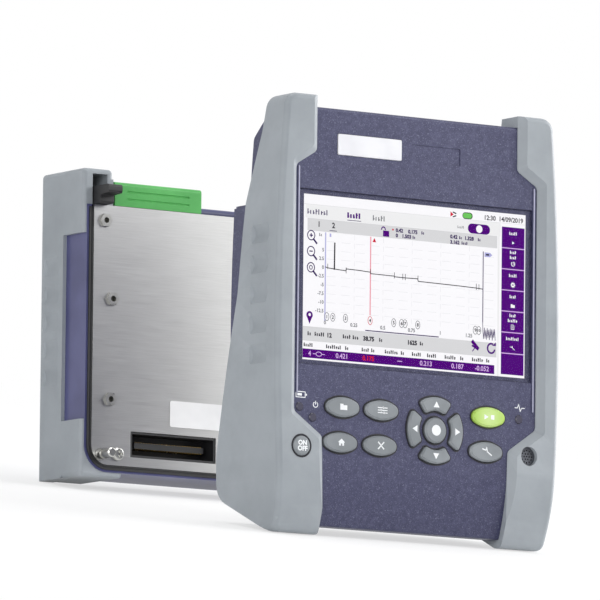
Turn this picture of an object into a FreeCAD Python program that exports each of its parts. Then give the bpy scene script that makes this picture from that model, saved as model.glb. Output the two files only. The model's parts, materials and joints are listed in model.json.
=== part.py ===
"""Optical time domain reflectometer: a handheld mainframe and its plug-in optical module.

Every piece is drawn in the instrument's own axes, as if it lay on its back: X to the right,
Y towards the top of the instrument and Z out of the display.  The module is drawn docked on the
back of the mainframe.  The last step draws the module back off its hooks by UNDOCK, leans the
pair back until the mainframe's feet and the module's lower rear edge stand on one floor, and
writes one STEP file for each piece.  Lengths are in millimetres.
"""
import FreeCAD, Part
import math
import os
from FreeCAD import Placement, Rotation, Vector

# ---- display and the mainframe's outline round it ------------------------------------------
VIEW_W, VIEW_H = 108.0, 64.8        # active area of the 5-inch display
SIDE_W = 15.0               # from the active area to the waist of the grips
HEAD_H = 40.5               # from the active area to the top of the ears
CHIN_H = 70.1               # from the active area to the underside of the feet
SHOULDER_IN = 4.0           # top of the grips, inside the waist
FOOT_IN = 3.2               # feet, inside the waist
WAIST_LOW = 5.0             # waist below the display's centre
BUMPER_WALL = 3.6           # rubber on the side of the case
CASE_MARGIN = 4.5           # hard case inside the top of the rubber
CASE_LIFT = 3.5             # hard case above the foot of the rubber
FLANGE_RISE = 3.0           # rubber standing proud of the front panel
CASE_WALL = 2.4             # hard case walls
MATE_DEPTH = 24.5           # front panel to the face that the module docks against
SPLIT_DEPTH = 14.0          # front panel to the joint between the front and rear case
HEEL_DEPTH = 42.4           # front panel to the rearmost line of the heel
EAR_DEPTH = 10.0            # front panel to the rear of the ears, at their top
REAR_BENDS = ((14.5, 13.2, 20), (42.9, 22.0, 8), (78.9, 25.5, 30))   # rubber's rear edge: below the
                            # ears' top, behind the front panel, and the bend's radius
HEEL_BEND = (1.0, 41.3, 10)          # its lowest bend, below the shelf
SHELF_H = 33.5              # shelf that the docked module stands on, above the feet
WING_DEPTH = 30.5           # front panel to the rear edge of the hard side panels
SOLE_ANGLE = 24.2           # slope of the heel's underside, degrees
TURN_DEPTH = 6.9            # front panel to where the sole would meet the foot
FOOT_ROUND = 8.0            # rounding between the sole and the foot
HEEL_ROUND = 9.0            # rounding of the heel's rear edge
SOLE_SKIN = 2.0             # hard case above the sole of the bumper
CASE_CORNER = 7.0           # rounded corners of the hard case
EAR_ROUND, TOE_ROUND = 5.5, 3.5      # outer corners of the bumper, top and bottom
EAR_W = 16.0                # width of the ears
RAIL_W = 10.2               # width of the side rails at the waist
PAD_W, PAD_FOOT_W = 20.6, 21.4       # width of the lower pads, at their top and at the foot
EAR_H, EAR_SLANT = 22.4, 6.0         # ears down to their slanted step, and the step's height
PAD_H, PAD_SLANT = 38.9, 9.4         # lower pads up to their slanted step, and the step's height
EDGE_ROUND = 2.2            # rounding of the rubber's outer edges
LIP_W, LIP_H = 3.0, 2.6     # slope along the rubber's inner edge
INNER_BEND = 2.6            # bends of that edge
BACK_STEP = 1.0             # the back starts this far below the case's top
ROLL_H, ROLL_BACK = 30.5, 6.0        # front face rolls back this far over its lowest part
PANEL_ROUND = 1.2           # rounding of the front panel's rim
WING_ROUND = 1.0            # rear corner of the side panels
PANEL_DROP, PANEL_H = 11.5, 28.2     # flush side panel below the case's top, and its height
PANEL_STEP = 0.9            # the strip below that panel is recessed by this much
SEAM = 0.3                  # seam between hard case and rubber
SKIN_GAP = 0.05             # between two skins that touch
FIT = 0.2                   # clearance of parts that drop into a pocket

# ---- front panel --------------------------------------------------------------------------
LENS_MARGIN = 2.6                   # window beyond the active area
LENS_T = 0.8                        # window thickness
LENS_SINK = 0.2                     # window below the front panel
LCD_MARGIN, LCD_T = 3.5, 4.2        # tray round the active area, and its depth
LOGO_W, LOGO_H, LOGO_T = 30.8, 8.4, 0.8
LOGO_X, LOGO_UP = -23.3, 21.7       # name plate, above the active area
NAME_W, NAME_H = 23.0, 7.0
NAME_X, NAME_UP = 9.5, 21.2         # debossed field beside it
DEBOSS = 0.3
TRIM_GAP, TRIM_W, TRIM_T = 3.4, 0.7, 0.5      # bright strips beside the active area
TRIM_ABOVE, TRIM_BELOW = 11.6, 14.6

# ---- keys ---------------------------------------------------------------------------------
KEY_W, KEY_H = 15.9, 8.0            # oval keys
KEY_RISE = 1.5                      # top of a key above the front panel
KEY_EDGE = 0.7                      # bevel of a key's rim
KEY_TRAVEL = 1.0
KEY_GAP = 0.30                      # clearance round a key
RING_W = 0.5                        # dark ring round each key
OVAL_END = 0.66                     # end radius of an oval, as a share of its half height
RING_RISE = 0.15
SKIRT_W, SKIRT_T = 0.5, 1.1         # skirt that keeps a key in
OVAL_KEYS = {"file": (-35.6, -19.0), "setup": (-16.8, -19.0), "home": (-36.5, -33.2),
             "cancel": (-17.4, -33.2), "start": (35.4, -18.1), "results": (34.3, -32.2)}
ARROWS = {"right": 0, "up": 90, "left": 180, "down": 270}
PAD_X, PAD_BELOW = 9.4, 25.2        # navigation pad, below the active area
PAD_R, PAD_HUB, ENTER_R = 13.4, 7.9, 5.2
ARROW_SPAN = 35.0                   # from the middle of an arrow key to its end, degrees
ARROW_ROUND = 1.2                   # its rounded corners
POWER_IN, POWER_DROP, POWER_R = 9.0, 4.8, 3.95       # inside the feet, below the lower pads' top
SOUND_IN, SOUND_DROP, SOUND_R = 11.8, 1.6, 3.9
HOLE_DEEP = 9.0                     # holes are cut this far below the front panel
GRILLE_LOW, GRILLE_T = 0.4, 0.8     # sound grille, sunk in the rubber
LED_R = 1.75
LEDS_LEFT = ((9.9, 11.1), (16.2, 7.2))       # inside the feet, above the lower pads' top
LEDS_RIGHT = ((15.0, 13.3),)

# ---- boards and what they carry -----------------------------------------------------------
BOARD_T = 1.6
KEYBOARD_DEPTH = 5.4
KEYBOARD_BELOW, KEYBOARD_LIFT = 8.1, 11.5    # key board below the active area, above the feet
DOME_R, DOME_H = 2.2, 0.35
MAINBOARD_DEPTH = 10.6
BOARD_MARGIN, BOARD_DROP, BOARD_LIFT = 3.0, 8.4, 36.5    # main board inside the case
CELL_R, CELL_L = 9.0, 50.0
CELL_LIFT, CELL_DEPTH = 21.3, 20.5
SPEAKER_R, SPEAKER_T = 6.0, 4.0
POST_R = 2.6
POST_IN, POST_DROP, POST_LIFT = 21.0, 22.0, 39.3

# ---- module: overall form -----------------------------------------------------------------
WING_W = 5.0                # rubber beside the docked module, at the waist
DOCK_CLEAR = 0.4            # beside the docked module
DOCK_GAP = 2.2              # between the plate and the mainframe, docked
MOD_DROP = 14.5             # top of the corner blocks below the ears
MOD_D = 33.2
BLOCK_W = 14.5              # corner blocks
BLOCK_H = 26.8
BASE_BLOCK_H, BASE_W = 23.3, 20.0
BAY_DROP = 15.0             # top panel below the corner blocks
STRIP_FRONT = 15.9          # rear grip strip starts this far behind the plate
PAD_T = 1.7                 # rubber over the cover
FLOOR_PAD_T = 2.0
COVER_WALL = 2.2
PLATE_T = 1.2
PLATE_MARGIN, PLATE_FOOT = 4.7, 5.0     # plate's edge inside the module's sides and base
PLATE_ROUND = 8.0
MOD_EDGE = 1.8              # rounding of the module's outer edges
RAIL_FRONT, RAIL_T, RAIL_H = 25.2, 5.6, 6.6
PANEL_T = 1.4
BOARD_BACK = 5.5            # module's board behind its plate
SHIELD = (-46.0, -34.0, 34.0, 26.0, 4.0)     # shield can: left, foot, width, height, thickness
CHIPS = ((8.0, -18.0), (30.0, -34.0))        # chips' centres
CHIP_HALF, CHIP_T = 7.0, 1.6
OPTIC_X, OPTIC_Y = -46.0, 2.0       # optical head's lower left corner
OPTIC_W, OPTIC_H, OPTIC_T = 28.0, 18.0, 9.0
OPTIC_CAN_R, LASER_L, DETECTOR_L = 2.8, 7.0, 6.0
LASER_UP, DETECTOR_IN = 12.0, 14.0  # laser above the head's foot, detector inside its left side

# ---- module: fan, port and docking hardware -----------------------------------------------
FAN_IN, FAN_DEPTH = 44.9, 17.2      # centre, inside the right side and behind the plate
FAN_R, FAN_HUB, FAN_T = 11.4, 4.4, 8.0
FAN_CLEAR, FAN_DROP = 0.6, 3.4
GRILLE_GAP = 1.3
BLADES = 7
PORT_DEPTH = 8.4
PORT_BORE = 1.25
PORT_W, PORT_T, PORT_BORE_L = 12.6, 8.4, 8.0
PORT_RISE = 7.0
LID_IN, LID_W = 15.4, 42.5          # port cover, inside the left side
LID_FRONT, LID_DEPTH, LID_RISE = 0.9, 15.8, 10.3
LID_WALL, LID_GAP = 1.6, 0.4
LUG_W = 2.0
PIN_R, PIN_FIT = 0.8, 0.05
KNUCKLE_R = 1.8
HOOK_IN, HOOK_W, HOOK_H = 8.0, 6.6, 7.4
HOOK_STEP, HOOK_REACH = 4.7, 11.0
SLOT_GAP = 0.6
HOOK_FIT, HOOK_ROOF, HOOK_DEEP = 0.3, 2.2, 12.0
SCREW_IN, SCREW_LIFT = 9.1, 9.2
SCREW_R, SCREW_HEAD_R, SCREW_REACH = 2.0, 3.5, 9.3
SCREW_GAP = 0.35
SOCKET_IN, SOCKET_LIFT = 44.8, 14.2
SOCKET_W, SOCKET_H, SOCKET_DEEP = 42.0, 10.7, 9.0
PLUG_GAP, PLUG_REACH = 1.35, 8.5
SOCKET_WALL = 1.0
TONGUE_MARGIN, TONGUE_T = 4.0, 2.4
CONTACT_COUNT, CONTACT_PITCH = 26, 1.27
LABEL_W, LABEL_H, LABEL_T = 46.0, 10.8, 0.2
LABEL_X, LABEL_LIFT = 2.0, 28.1
STUD_IN = (10.2, 14.0, 13.4)        # studs inside the module's sides, from the top down
STUD_DROP, STUD_MIDDLE, STUD_LIFT = 6.3, 38.5, 32.0
PAN_IN, PAN_LIFT = 17.6, 9.7

# ---- how the pair stands ------------------------------------------------------------------
UNDOCK = 120.0              # the module is drawn back this far

# ---- grip notches -------------------------------------------------------------------------
NOTCH_COUNT = 5
NOTCH_PITCH, NOTCH_H, NOTCH_DEEP = 12.1, 7.8, 1.5
NOTCH_TOP = 17.0
NOTCH_FRONT, NOTCH_BACK = 2.5, 19.0
MOD_NOTCH_DROP, MOD_NOTCH_PITCH = 39.0, 11.4
MOD_NOTCH_SIDE, MOD_NOTCH_DEEP = 2.0, 1.0

# ---- places worked out from the sizes above -----------------------------------------------
GRIP_HALF = VIEW_W / 2 + SIDE_W
SHOULDER_HALF = GRIP_HALF - SHOULDER_IN
FOOT_HALF = GRIP_HALF - FOOT_IN
WAIST_Y = -WAIST_LOW
EAR_TOP = VIEW_H / 2 + HEAD_H
FOOT_Y = -VIEW_H / 2 - CHIN_H
CASE_TOP = EAR_TOP - CASE_MARGIN
CASE_FOOT = FOOT_Y + CASE_LIFT
MATE_Z, SPLIT_Z, HEEL_Z, TURN_Z = -MATE_DEPTH, -SPLIT_DEPTH, -HEEL_DEPTH, -TURN_DEPTH
WING_Z = -WING_DEPTH
HEEL_TOP = FOOT_Y + SHELF_H
PANEL_TOP = CASE_TOP - PANEL_DROP
PANEL_FOOT = PANEL_TOP - PANEL_H
EAR_IN = SHOULDER_HALF - EAR_W
RAIL_IN = GRIP_HALF - RAIL_W
PAD_IN = FOOT_HALF - PAD_W
PAD_FOOT_IN = FOOT_HALF - PAD_FOOT_W
LOGO_Y, NAME_Y = VIEW_H / 2 + LOGO_UP, VIEW_H / 2 + NAME_UP
TRIM_X = VIEW_W / 2 + TRIM_GAP
TRIM_TOP, TRIM_LOW = VIEW_H / 2 + TRIM_ABOVE, -VIEW_H / 2 - TRIM_BELOW
PAD_Y = -VIEW_H / 2 - PAD_BELOW
PAD_TOP = FOOT_Y + PAD_H
POWER_X, POWER_Y = -FOOT_HALF + POWER_IN, PAD_TOP - POWER_DROP
SOUND_X, SOUND_Y = FOOT_HALF - SOUND_IN, PAD_TOP - SOUND_DROP
KEYBOARD_TOP, MAINBOARD_TOP = -KEYBOARD_DEPTH, -MAINBOARD_DEPTH
CELL_Y, CELL_Z = FOOT_Y + CELL_LIFT, -CELL_DEPTH
MOD_HALF = GRIP_HALF - WING_W
MOD_TOP = EAR_TOP - MOD_DROP
MOD_FOOT = HEEL_TOP + DOCK_CLEAR
PLATE_Z = MATE_Z - DOCK_GAP
MOD_BACK = PLATE_Z - MOD_D
BAY_Y = MOD_TOP - BAY_DROP
COVER_ROUND = PLATE_ROUND + PLATE_MARGIN - PAD_T
BOARD_TOP = PLATE_Z - BOARD_BACK
FAN_X = MOD_HALF - FAN_IN
LID_LEFT = -MOD_HALF + LID_IN
LID_RIGHT = LID_LEFT + LID_W
PORT_X = LID_LEFT + LID_W * 0.44
HOOK_X = MOD_HALF - HOOK_IN
SCREW_X, SCREW_Y = MOD_HALF - SCREW_IN, MOD_FOOT + SCREW_LIFT
SOCKET_X, SOCKET_Y = -MOD_HALF + SOCKET_IN, MOD_FOOT + SOCKET_LIFT
TONGUE_W = SOCKET_W - 2 * TONGUE_MARGIN
LABEL_Y = MOD_FOOT + LABEL_LIFT
PAN_X, PAN_Y = MOD_HALF - PAN_IN, MOD_FOOT + PAN_LIFT
STUD_Y = (BAY_Y - STUD_DROP, BAY_Y - STUD_MIDDLE, MOD_FOOT + STUD_LIFT)
PAIR = (-1, 1)
FAR = 2 * GRIP_HALF         # beyond every side
REEL_AT = (FAN_X + 0.9, (BAY_Y + MOD_FOOT) / 2 - 1.4)
REEL_R, REEL_CORE = 24.0, 18.0
ROLL_R = (ROLL_H ** 2 + ROLL_BACK ** 2) / (2 * ROLL_BACK)
WING_FOOT = HEEL_TOP + 42.8


def box(x0, x1, y0, y1, z0, z1):
    return Part.makeBox(x1 - x0, y1 - y0, z1 - z0, Vector(x0, y0, z0))


def post(x, y, r, z0, z1):
    """A round bar along Z."""
    return Part.makeCylinder(r, z1 - z0, Vector(x, y, z0))


def upright(x, z, r, y0, y1):
    """A round bar along Y."""
    return Part.makeCylinder(r, y1 - y0, Vector(x, y0, z), Vector(0, 1, 0))


def crossbar(y, z, r, x0, x1):
    """A round bar along X."""
    return Part.makeCylinder(r, x1 - x0, Vector(x0, y, z), Vector(1, 0, 0))


def union(shapes):
    shapes = list(shapes)
    return shapes[0].multiFuse(shapes[1:]).removeSplitter() if len(shapes) > 1 else shapes[0]


def cut(shape, tools):
    for tool in tools:
        shape = shape.cut(tool)
    return shape


def prism(points, z0, z1):
    """A polygon in XY drawn from z0 to z1."""
    corners = [Vector(x, y, z0) for x, y in points]
    face = Part.Face(Part.makePolygon(corners + corners[:1]))
    return face.extrude(Vector(0, 0, z1 - z0))


def loop(corners, place):
    """A closed wire through (a, b, rounding) corners; place turns (a, b) into a point."""
    edges = []
    ends = []
    count = len(corners)
    for i, (a, b, r) in enumerate(corners):
        pa, pb = corners[i - 1][:2]
        na, nb = corners[(i + 1) % count][:2]
        back = math.hypot(pa - a, pb - b)
        ahead = math.hypot(na - a, nb - b)
        u = ((pa - a) / back, (pb - b) / back)
        v = ((na - a) / ahead, (nb - b) / ahead)
        if not r:
            ends.append(((a, b), (a, b)))
            continue
        half = math.acos(max(-1.0, min(1.0, u[0] * v[0] + u[1] * v[1]))) / 2
        lead = r / math.tan(half)
        start = (a + lead * u[0], b + lead * u[1])
        stop = (a + lead * v[0], b + lead * v[1])
        bis = math.hypot(u[0] + v[0], u[1] + v[1])
        reach = r / math.sin(half) - r
        middle = (a + reach * (u[0] + v[0]) / bis, b + reach * (u[1] + v[1]) / bis)
        edges.append(Part.Arc(place(*start), place(*middle), place(*stop)).toShape())
        ends.append((start, stop))
    for i in range(count):
        start, stop = ends[i][1], ends[(i + 1) % count][0]
        if math.hypot(start[0] - stop[0], start[1] - stop[1]) > 1e-7:
            edges.append(Part.LineSegment(place(*start), place(*stop)).toShape())
    return Part.Wire(Part.__sortEdges__(edges))


def slab_xy(corners, z0, z1):
    """A rounded polygon in XY drawn from z0 to z1."""
    wire = loop(corners, lambda a, b: Vector(a, b, z0))
    return Part.Face(wire).extrude(Vector(0, 0, z1 - z0))


def slab_yz(corners, x0, x1):
    """A rounded polygon in YZ drawn from x0 to x1."""
    wire = loop(corners, lambda a, b: Vector(x0, a, b))
    return Part.Face(wire).extrude(Vector(x1 - x0, 0, 0))


def slab_xz(corners, y0, y1):
    """A rounded polygon in XZ drawn from y0 to y1."""
    wire = loop(corners, lambda a, b: Vector(a, y0, b))
    return Part.Face(wire).extrude(Vector(0, y1 - y0, 0))


def mirrored(shape):
    return shape.mirror(Vector(0, 0, 0), Vector(1, 0, 0))


def rounded_box(x0, x1, y0, y1, z0, z1, r):
    """A box with its four edges along Z rounded."""
    solid = box(x0, x1, y0, y1, z0, z1)
    return solid.makeFillet(r, [e for e in solid.Edges if along(e, 2)])


def along(edge, axis):
    """True for a straight edge parallel to axis 0, 1 or 2."""
    if edge.Curve.TypeId != "Part::GeomLine":
        return False
    a, b = edge.Vertexes[0].Point, edge.Vertexes[-1].Point
    return all(abs(a[i] - b[i]) < 1e-6 for i in range(3) if i != axis)


def edges_at(shape, axis, value, near=1e-4):
    """Edges that lie wholly in the plane where the coordinate has this value."""
    found = []
    for edge in shape.Edges:
        limits = edge.BoundBox
        low = (limits.XMin, limits.YMin, limits.ZMin)[axis]
        high = (limits.XMax, limits.YMax, limits.ZMax)[axis]
        if abs(low - value) < near and abs(high - value) < near:
            found.append(edge)
    return found


def oval(x, y, width, height, z0, z1):
    """An oval bar along Z, drawn with four arcs that meet smoothly."""
    a, b = width / 2, height / 2
    end = b * OVAL_END
    side = ((a - end) ** 2 + b ** 2 - end ** 2) / (2 * (b - end))
    reach = side - end
    tx = (a - end) * (1 + end / reach)
    ty = (side - b) * end / reach
    place = lambda px, py: Vector(x + px, y + py, z0)
    arcs = [Part.Arc(place(tx, -ty), place(a, 0), place(tx, ty)),
            Part.Arc(place(tx, ty), place(0, b), place(-tx, ty)),
            Part.Arc(place(-tx, ty), place(-a, 0), place(-tx, -ty)),
            Part.Arc(place(-tx, -ty), place(0, -b), place(tx, -ty))]
    face = Part.Face(Part.Wire([arc.toShape() for arc in arcs]))
    return face.extrude(Vector(0, 0, z1 - z0))


def arrow_bar(turn, grow, z0, z1):
    """One quarter of the navigation ring as a bar along Z; turn 0 faces right, 90 faces up."""
    def place(r, side):
        angle = math.radians(turn) + side * (math.radians(ARROW_SPAN) + math.asin(grow / r))
        return Vector(PAD_X + r * math.cos(angle), PAD_Y + r * math.sin(angle), z0)
    outer, inner = PAD_R + grow, PAD_HUB - grow
    edges = [Part.Arc(place(outer, -1), place(outer, 0), place(outer, 1)),
             Part.LineSegment(place(outer, 1), place(inner, 1)),
             Part.Arc(place(inner, 1), place(inner, 0), place(inner, -1)),
             Part.LineSegment(place(inner, -1), place(outer, -1))]
    slab = Part.Face(Part.Wire([edge.toShape() for edge in edges])).extrude(Vector(0, 0, z1 - z0))
    return slab.makeFillet(ARROW_ROUND + grow, [e for e in slab.Edges if along(e, 2)])


def eased(shape, level, size):
    """The same bar with the rim of its face at this level bevelled."""
    return shape.makeChamfer(size, edges_at(shape, 2, level))


# ---- mainframe outlines -------------------------------------------------------------------
def side_circle():
    """Centre height, centre x and radius of the arc that bows the right side."""
    y1, x1 = EAR_TOP, SHOULDER_HALF
    y2, x2 = WAIST_Y, GRIP_HALF
    y3, x3 = FOOT_Y, FOOT_HALF
    a = 2 * (x2 - x1)
    b = 2 * (y2 - y1)
    c = 2 * (x3 - x1)
    d = 2 * (y3 - y1)
    e = x2 ** 2 + y2 ** 2 - x1 ** 2 - y1 ** 2
    f = x3 ** 2 + y3 ** 2 - x1 ** 2 - y1 ** 2
    det = a * d - b * c
    cx = (e * d - b * f) / det
    cy = (a * f - e * c) / det
    return cx, cy, math.hypot(x1 - cx, y1 - cy)


def side_x(y, inset=0.0):
    """Half width of the bowed side at height y, moved in by inset."""
    cx, cy, radius = side_circle()
    return cx + math.sqrt((radius - inset) ** 2 - (y - cy) ** 2)


def outline(inset, top, foot, z0, z1, rounds=None):
    """The bowed front outline as a slab, with its upper and lower corners rounded."""
    xt, xm, xf = (side_x(y, inset) for y in (top, WAIST_Y, foot))
    right = Part.Arc(Vector(xf, foot, z0), Vector(xm, WAIST_Y, z0), Vector(xt, top, z0))
    left = Part.Arc(Vector(-xt, top, z0), Vector(-xm, WAIST_Y, z0), Vector(-xf, foot, z0))
    upper = Part.LineSegment(Vector(xt, top, z0), Vector(-xt, top, z0))
    lower = Part.LineSegment(Vector(-xf, foot, z0), Vector(xf, foot, z0))
    wire = Part.Wire([c.toShape() for c in (right, upper, left, lower)])
    slab = Part.Face(wire).extrude(Vector(0, 0, z1 - z0))
    if rounds:
        middle = (top + foot) / 2
        for r, side in zip(rounds, PAIR[::-1]):
            rim = [e for e in slab.Edges if along(e, 2) and side * (e.Vertexes[0].Y - middle) > 0]
            slab = slab.makeFillet(r, rim)
    return slab


def sole_y(z, inset=0.0):
    """Height of the sloping sole at depth z, moved in by inset."""
    slope = math.radians(SOLE_ANGLE)
    return FOOT_Y - math.tan(slope) * (z - TURN_Z) + inset / math.cos(slope)


def sole_corners(inset):
    """Heel, sole and foot as (y, z, rounding) corners."""
    heel = HEEL_Z + inset
    slope = math.radians(SOLE_ANGLE)
    foot = FOOT_Y + inset
    turn = TURN_Z + inset * math.tan(slope / 2)
    return [(sole_y(heel, inset), heel, HEEL_ROUND), (foot, turn, FOOT_ROUND)]


def front_corners(rise, gap=0.0):
    """Foot and front face as (y, z, rounding) corners, the face rolling back to the foot."""
    tall = ROLL_H - gap
    back = ROLL_R - math.sqrt(ROLL_R ** 2 - tall ** 2)
    turn = FOOT_Y + ROLL_H - ROLL_R * back / tall
    return [(FOOT_Y + gap, rise - back, 0), (turn, rise, ROLL_R)]


def front_z(y, rise=0.0):
    """Depth of the front face at height y."""
    drop = max(0.0, FOOT_Y + ROLL_H - y)
    return rise - ROLL_R + math.sqrt(ROLL_R ** 2 - drop ** 2)


def case_block(inset, skin, rise, z0):
    """The hard case's bulk from its front face back to z0, moved in by inset."""
    rounds = (CASE_CORNER - inset,) * 2
    block = outline(skin + inset, CASE_TOP - inset, CASE_FOOT + inset, z0, 1.0, rounds)
    profile = [(EAR_TOP, rise, 0), (EAR_TOP, HEEL_Z - 9, 0), (FOOT_Y + SHELF_H, HEEL_Z - 9, 0)]
    return block.common(slab_yz(profile + sole_corners(SOLE_SKIN + inset)[:1]
                                + sole_corners(SOLE_SKIN + inset)[1:]
                                + front_corners(rise, SOLE_SKIN + inset), -FAR, FAR))


# ---- mainframe: casings -------------------------------------------------------------------
def make_front_case():
    shell = case_block(0.0, BUMPER_WALL, 0.0, SPLIT_Z)
    shell = shell.makeFillet(PANEL_ROUND, front_rim(shell))
    tools = [case_block(CASE_WALL, BUMPER_WALL, -CASE_WALL, SPLIT_Z - 1)]
    half_w, half_h = VIEW_W / 2 + LENS_MARGIN + FIT, VIEW_H / 2 + LENS_MARGIN + FIT
    tools.append(box(-half_w, half_w, -half_h, half_h, -LENS_SINK - LENS_T, 1))
    half_w, half_h = VIEW_W / 2 + FIT / 2, VIEW_H / 2 + FIT / 2
    tools.append(box(-half_w, half_w, -half_h, half_h, SPLIT_Z, 0))
    grow = KEY_GAP + RING_W
    for x, y in OVAL_KEYS.values():
        tools.append(oval(x, row(y), KEY_W + 2 * grow, KEY_H + 2 * grow, -HOLE_DEEP, 1))
    tools.append(post(PAD_X, PAD_Y, ENTER_R + grow, -HOLE_DEEP, 1))
    tools += [arrow_bar(turn, grow, -HOLE_DEEP, 1) for turn in ARROWS.values()]
    tools.append(post(POWER_X, POWER_Y, POWER_R + grow, -HOLE_DEEP, 1))
    tools.append(post(SOUND_X, SOUND_Y, SOUND_R, -HOLE_DEEP, 1))
    tools += [post(x, y, LED_R + 0.1, -HOLE_DEEP, 1) for x, y in led_spots()]
    for x, y, w, h in ((LOGO_X, LOGO_Y, LOGO_W + 2 * FIT, LOGO_H + 2 * FIT), (NAME_X, NAME_Y, NAME_W, NAME_H)):
        tools.append(box(x - w / 2, x + w / 2, y - h / 2, y + h / 2, -DEBOSS, 1))
    return cut(shell, tools)


def front_rim(shell):
    """Outline edges of the front panel."""
    rim = []
    for edge in shell.Edges:
        middle = edge.valueAt((edge.FirstParameter + edge.LastParameter) / 2)
        points = [vertex.Point for vertex in edge.Vertexes] + [middle]
        on_face = all(abs(p.z - front_z(p.y)) < 1e-3 for p in points)
        seam = abs(points[0].y - points[-2].y) < 1e-3 and CASE_FOOT + 9 < middle.y < CASE_TOP - 9
        if on_face and not seam:
            rim.append(edge)
    return rim


def back_profile(inset, top, shelf):
    """Side view of the rear case moved in by inset, open towards the front."""
    heel = HEEL_Z + SOLE_SKIN + inset
    corners = [(top, 10, 0), (top, SPLIT_Z + 1, 0), (CASE_TOP - BACK_STEP - inset, SPLIT_Z, 0),
               (PANEL_TOP - inset, MATE_Z + inset, 0 if inset else 3), (shelf, MATE_Z + inset, 0),
               (shelf, heel, 0 if inset else 2)]
    return corners + sole_corners(SOLE_SKIN + inset) + [(FOOT_Y + SOLE_SKIN + inset, 10, 0)]


def make_wing():
    """Right-hand side panel behind the rubber: flush at the top, recessed below."""
    edge = MOD_HALF + DOCK_CLEAR
    skins = [outline(SEAM, PANEL_TOP + 2, PANEL_FOOT, WING_Z, SPLIT_Z + 4),
             outline(SEAM + PANEL_STEP, PANEL_FOOT + 1, WING_FOOT, WING_Z, SPLIT_Z + 4)]
    wing = union(skins).cut(slab_yz(bumper_rear(SEAM) + [(FOOT_Y, 10, 0), (EAR_TOP, 10, 0)], 0, FAR))
    side = slab_yz([(PANEL_TOP + 1, SPLIT_Z + 4, 0), (PANEL_TOP - 5, WING_Z, WING_ROUND),
                    (WING_FOOT, WING_Z, 0), (WING_FOOT, SPLIT_Z + 4, 0)], 0, FAR)
    wing = wing.common(side)
    inner = side_x(PANEL_TOP, BUMPER_WALL + 1)
    wing = wing.cut(box(0, inner, FOOT_Y, EAR_TOP, MATE_Z, 0))
    wing = wing.cut(box(0, edge, FOOT_Y, EAR_TOP, WING_Z - 1, MATE_Z))
    core = outline(BUMPER_WALL, PANEL_FOOT, WING_FOOT, WING_Z, MATE_Z + 1)
    core = core.common(box(edge, FAR, FOOT_Y, EAR_TOP, WING_Z, MATE_Z + 1)).common(side)
    return union([wing, core])


def make_rear_case():
    """The back shell: a flat docking face, hard side panels and the hollow heel."""
    slab = outline(BUMPER_WALL, CASE_TOP, CASE_FOOT, HEEL_Z - 5, SPLIT_Z, (CASE_CORNER,) * 2)
    room = outline(BUMPER_WALL + CASE_WALL, CASE_TOP - CASE_WALL, CASE_FOOT + CASE_WALL,
                   HEEL_Z, SPLIT_Z + 1, (CASE_CORNER - CASE_WALL,) * 2)
    hollow = slab_yz(back_profile(CASE_WALL, CASE_TOP, HEEL_TOP - CASE_WALL), -1, FAR)
    half = slab.common(slab_yz(back_profile(0.0, CASE_TOP + 5, HEEL_TOP), 0, FAR))
    half = half.cut(room.common(hollow))
    half = union([half, make_wing()])
    side = HOOK_W / 2 + SLOT_GAP
    half = half.cut(box(HOOK_X - side, HOOK_X + side, BAY_Y - SLOT_GAP, BAY_Y + HOOK_H + SLOT_GAP,
                        MATE_Z - 1, MATE_Z + CASE_WALL + 1))
    half = half.cut(post(SCREW_X, SCREW_Y, SCREW_R + 0.8, MATE_Z - 1, MATE_Z + 4))
    shell = union([half, mirrored(half)])
    plug_w, plug_h = SOCKET_W - 2 * PLUG_GAP, SOCKET_H - 2 * PLUG_GAP
    return shell.cut(box(SOCKET_X - plug_w / 2, SOCKET_X + plug_w / 2, SOCKET_Y - plug_h / 2,
                         SOCKET_Y + plug_h / 2, MATE_Z - 1, MATE_Z + CASE_WALL + 1))


def bumper_rear(gap=0.0):
    """Rear edge of the bumper from the ear to the heel, as (y, z, rounding), moved back by gap."""
    bends = [(EAR_TOP - drop, -deep - gap, bend) for drop, deep, bend in REAR_BENDS]
    drop, deep, bend = HEEL_BEND
    return [(EAR_TOP + gap, -EAR_DEPTH - gap, 0)] + bends + [(HEEL_TOP - drop, -deep - gap, bend)]


def shifted(points, gap):
    """The same chain of (x, y) points, each of its lines moved outwards by gap."""
    lines = []
    for (xa, ya), (xb, yb) in zip(points, points[1:]):
        length = math.hypot(xb - xa, yb - ya)
        ux, uy = (xb - xa) / length, (yb - ya) / length
        lines.append((xa - gap * uy, ya + gap * ux, ux, uy))
    corners = [(lines[0][0], lines[0][1])]
    for (xa, ya, ua, va), (xb, yb, ub, vb) in zip(lines, lines[1:]):
        t = ((xb - xa) * vb - (yb - ya) * ub) / (ua * vb - va * ub)
        corners.append((xa + t * ua, ya + t * va))
    x, y, ux, uy = lines[-1]
    length = math.hypot(points[-1][0] - points[-2][0], points[-1][1] - points[-2][1])
    return corners + [(x + ux * length, y + uy * length)]


def inner_corners(gap):
    """Inner edge of the right-hand rubber as (x, y, rounding) corners, moved outwards by gap."""
    ear = EAR_TOP - EAR_H
    chain = shifted([(EAR_IN, EAR_TOP + 5), (EAR_IN, ear), (RAIL_IN, ear - EAR_SLANT),
                     (RAIL_IN, PAD_TOP + PAD_SLANT), (PAD_IN, PAD_TOP), (PAD_FOOT_IN, FOOT_Y - 5)], gap)
    bends = [0] + [INNER_BEND] * (len(chain) - 2) + [0]
    corners = [(x, y, r) for (x, y), r in zip(chain, bends)]
    return [(0, chain[0][1], 0)] + corners + [(0, chain[-1][1], 0)]


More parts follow.
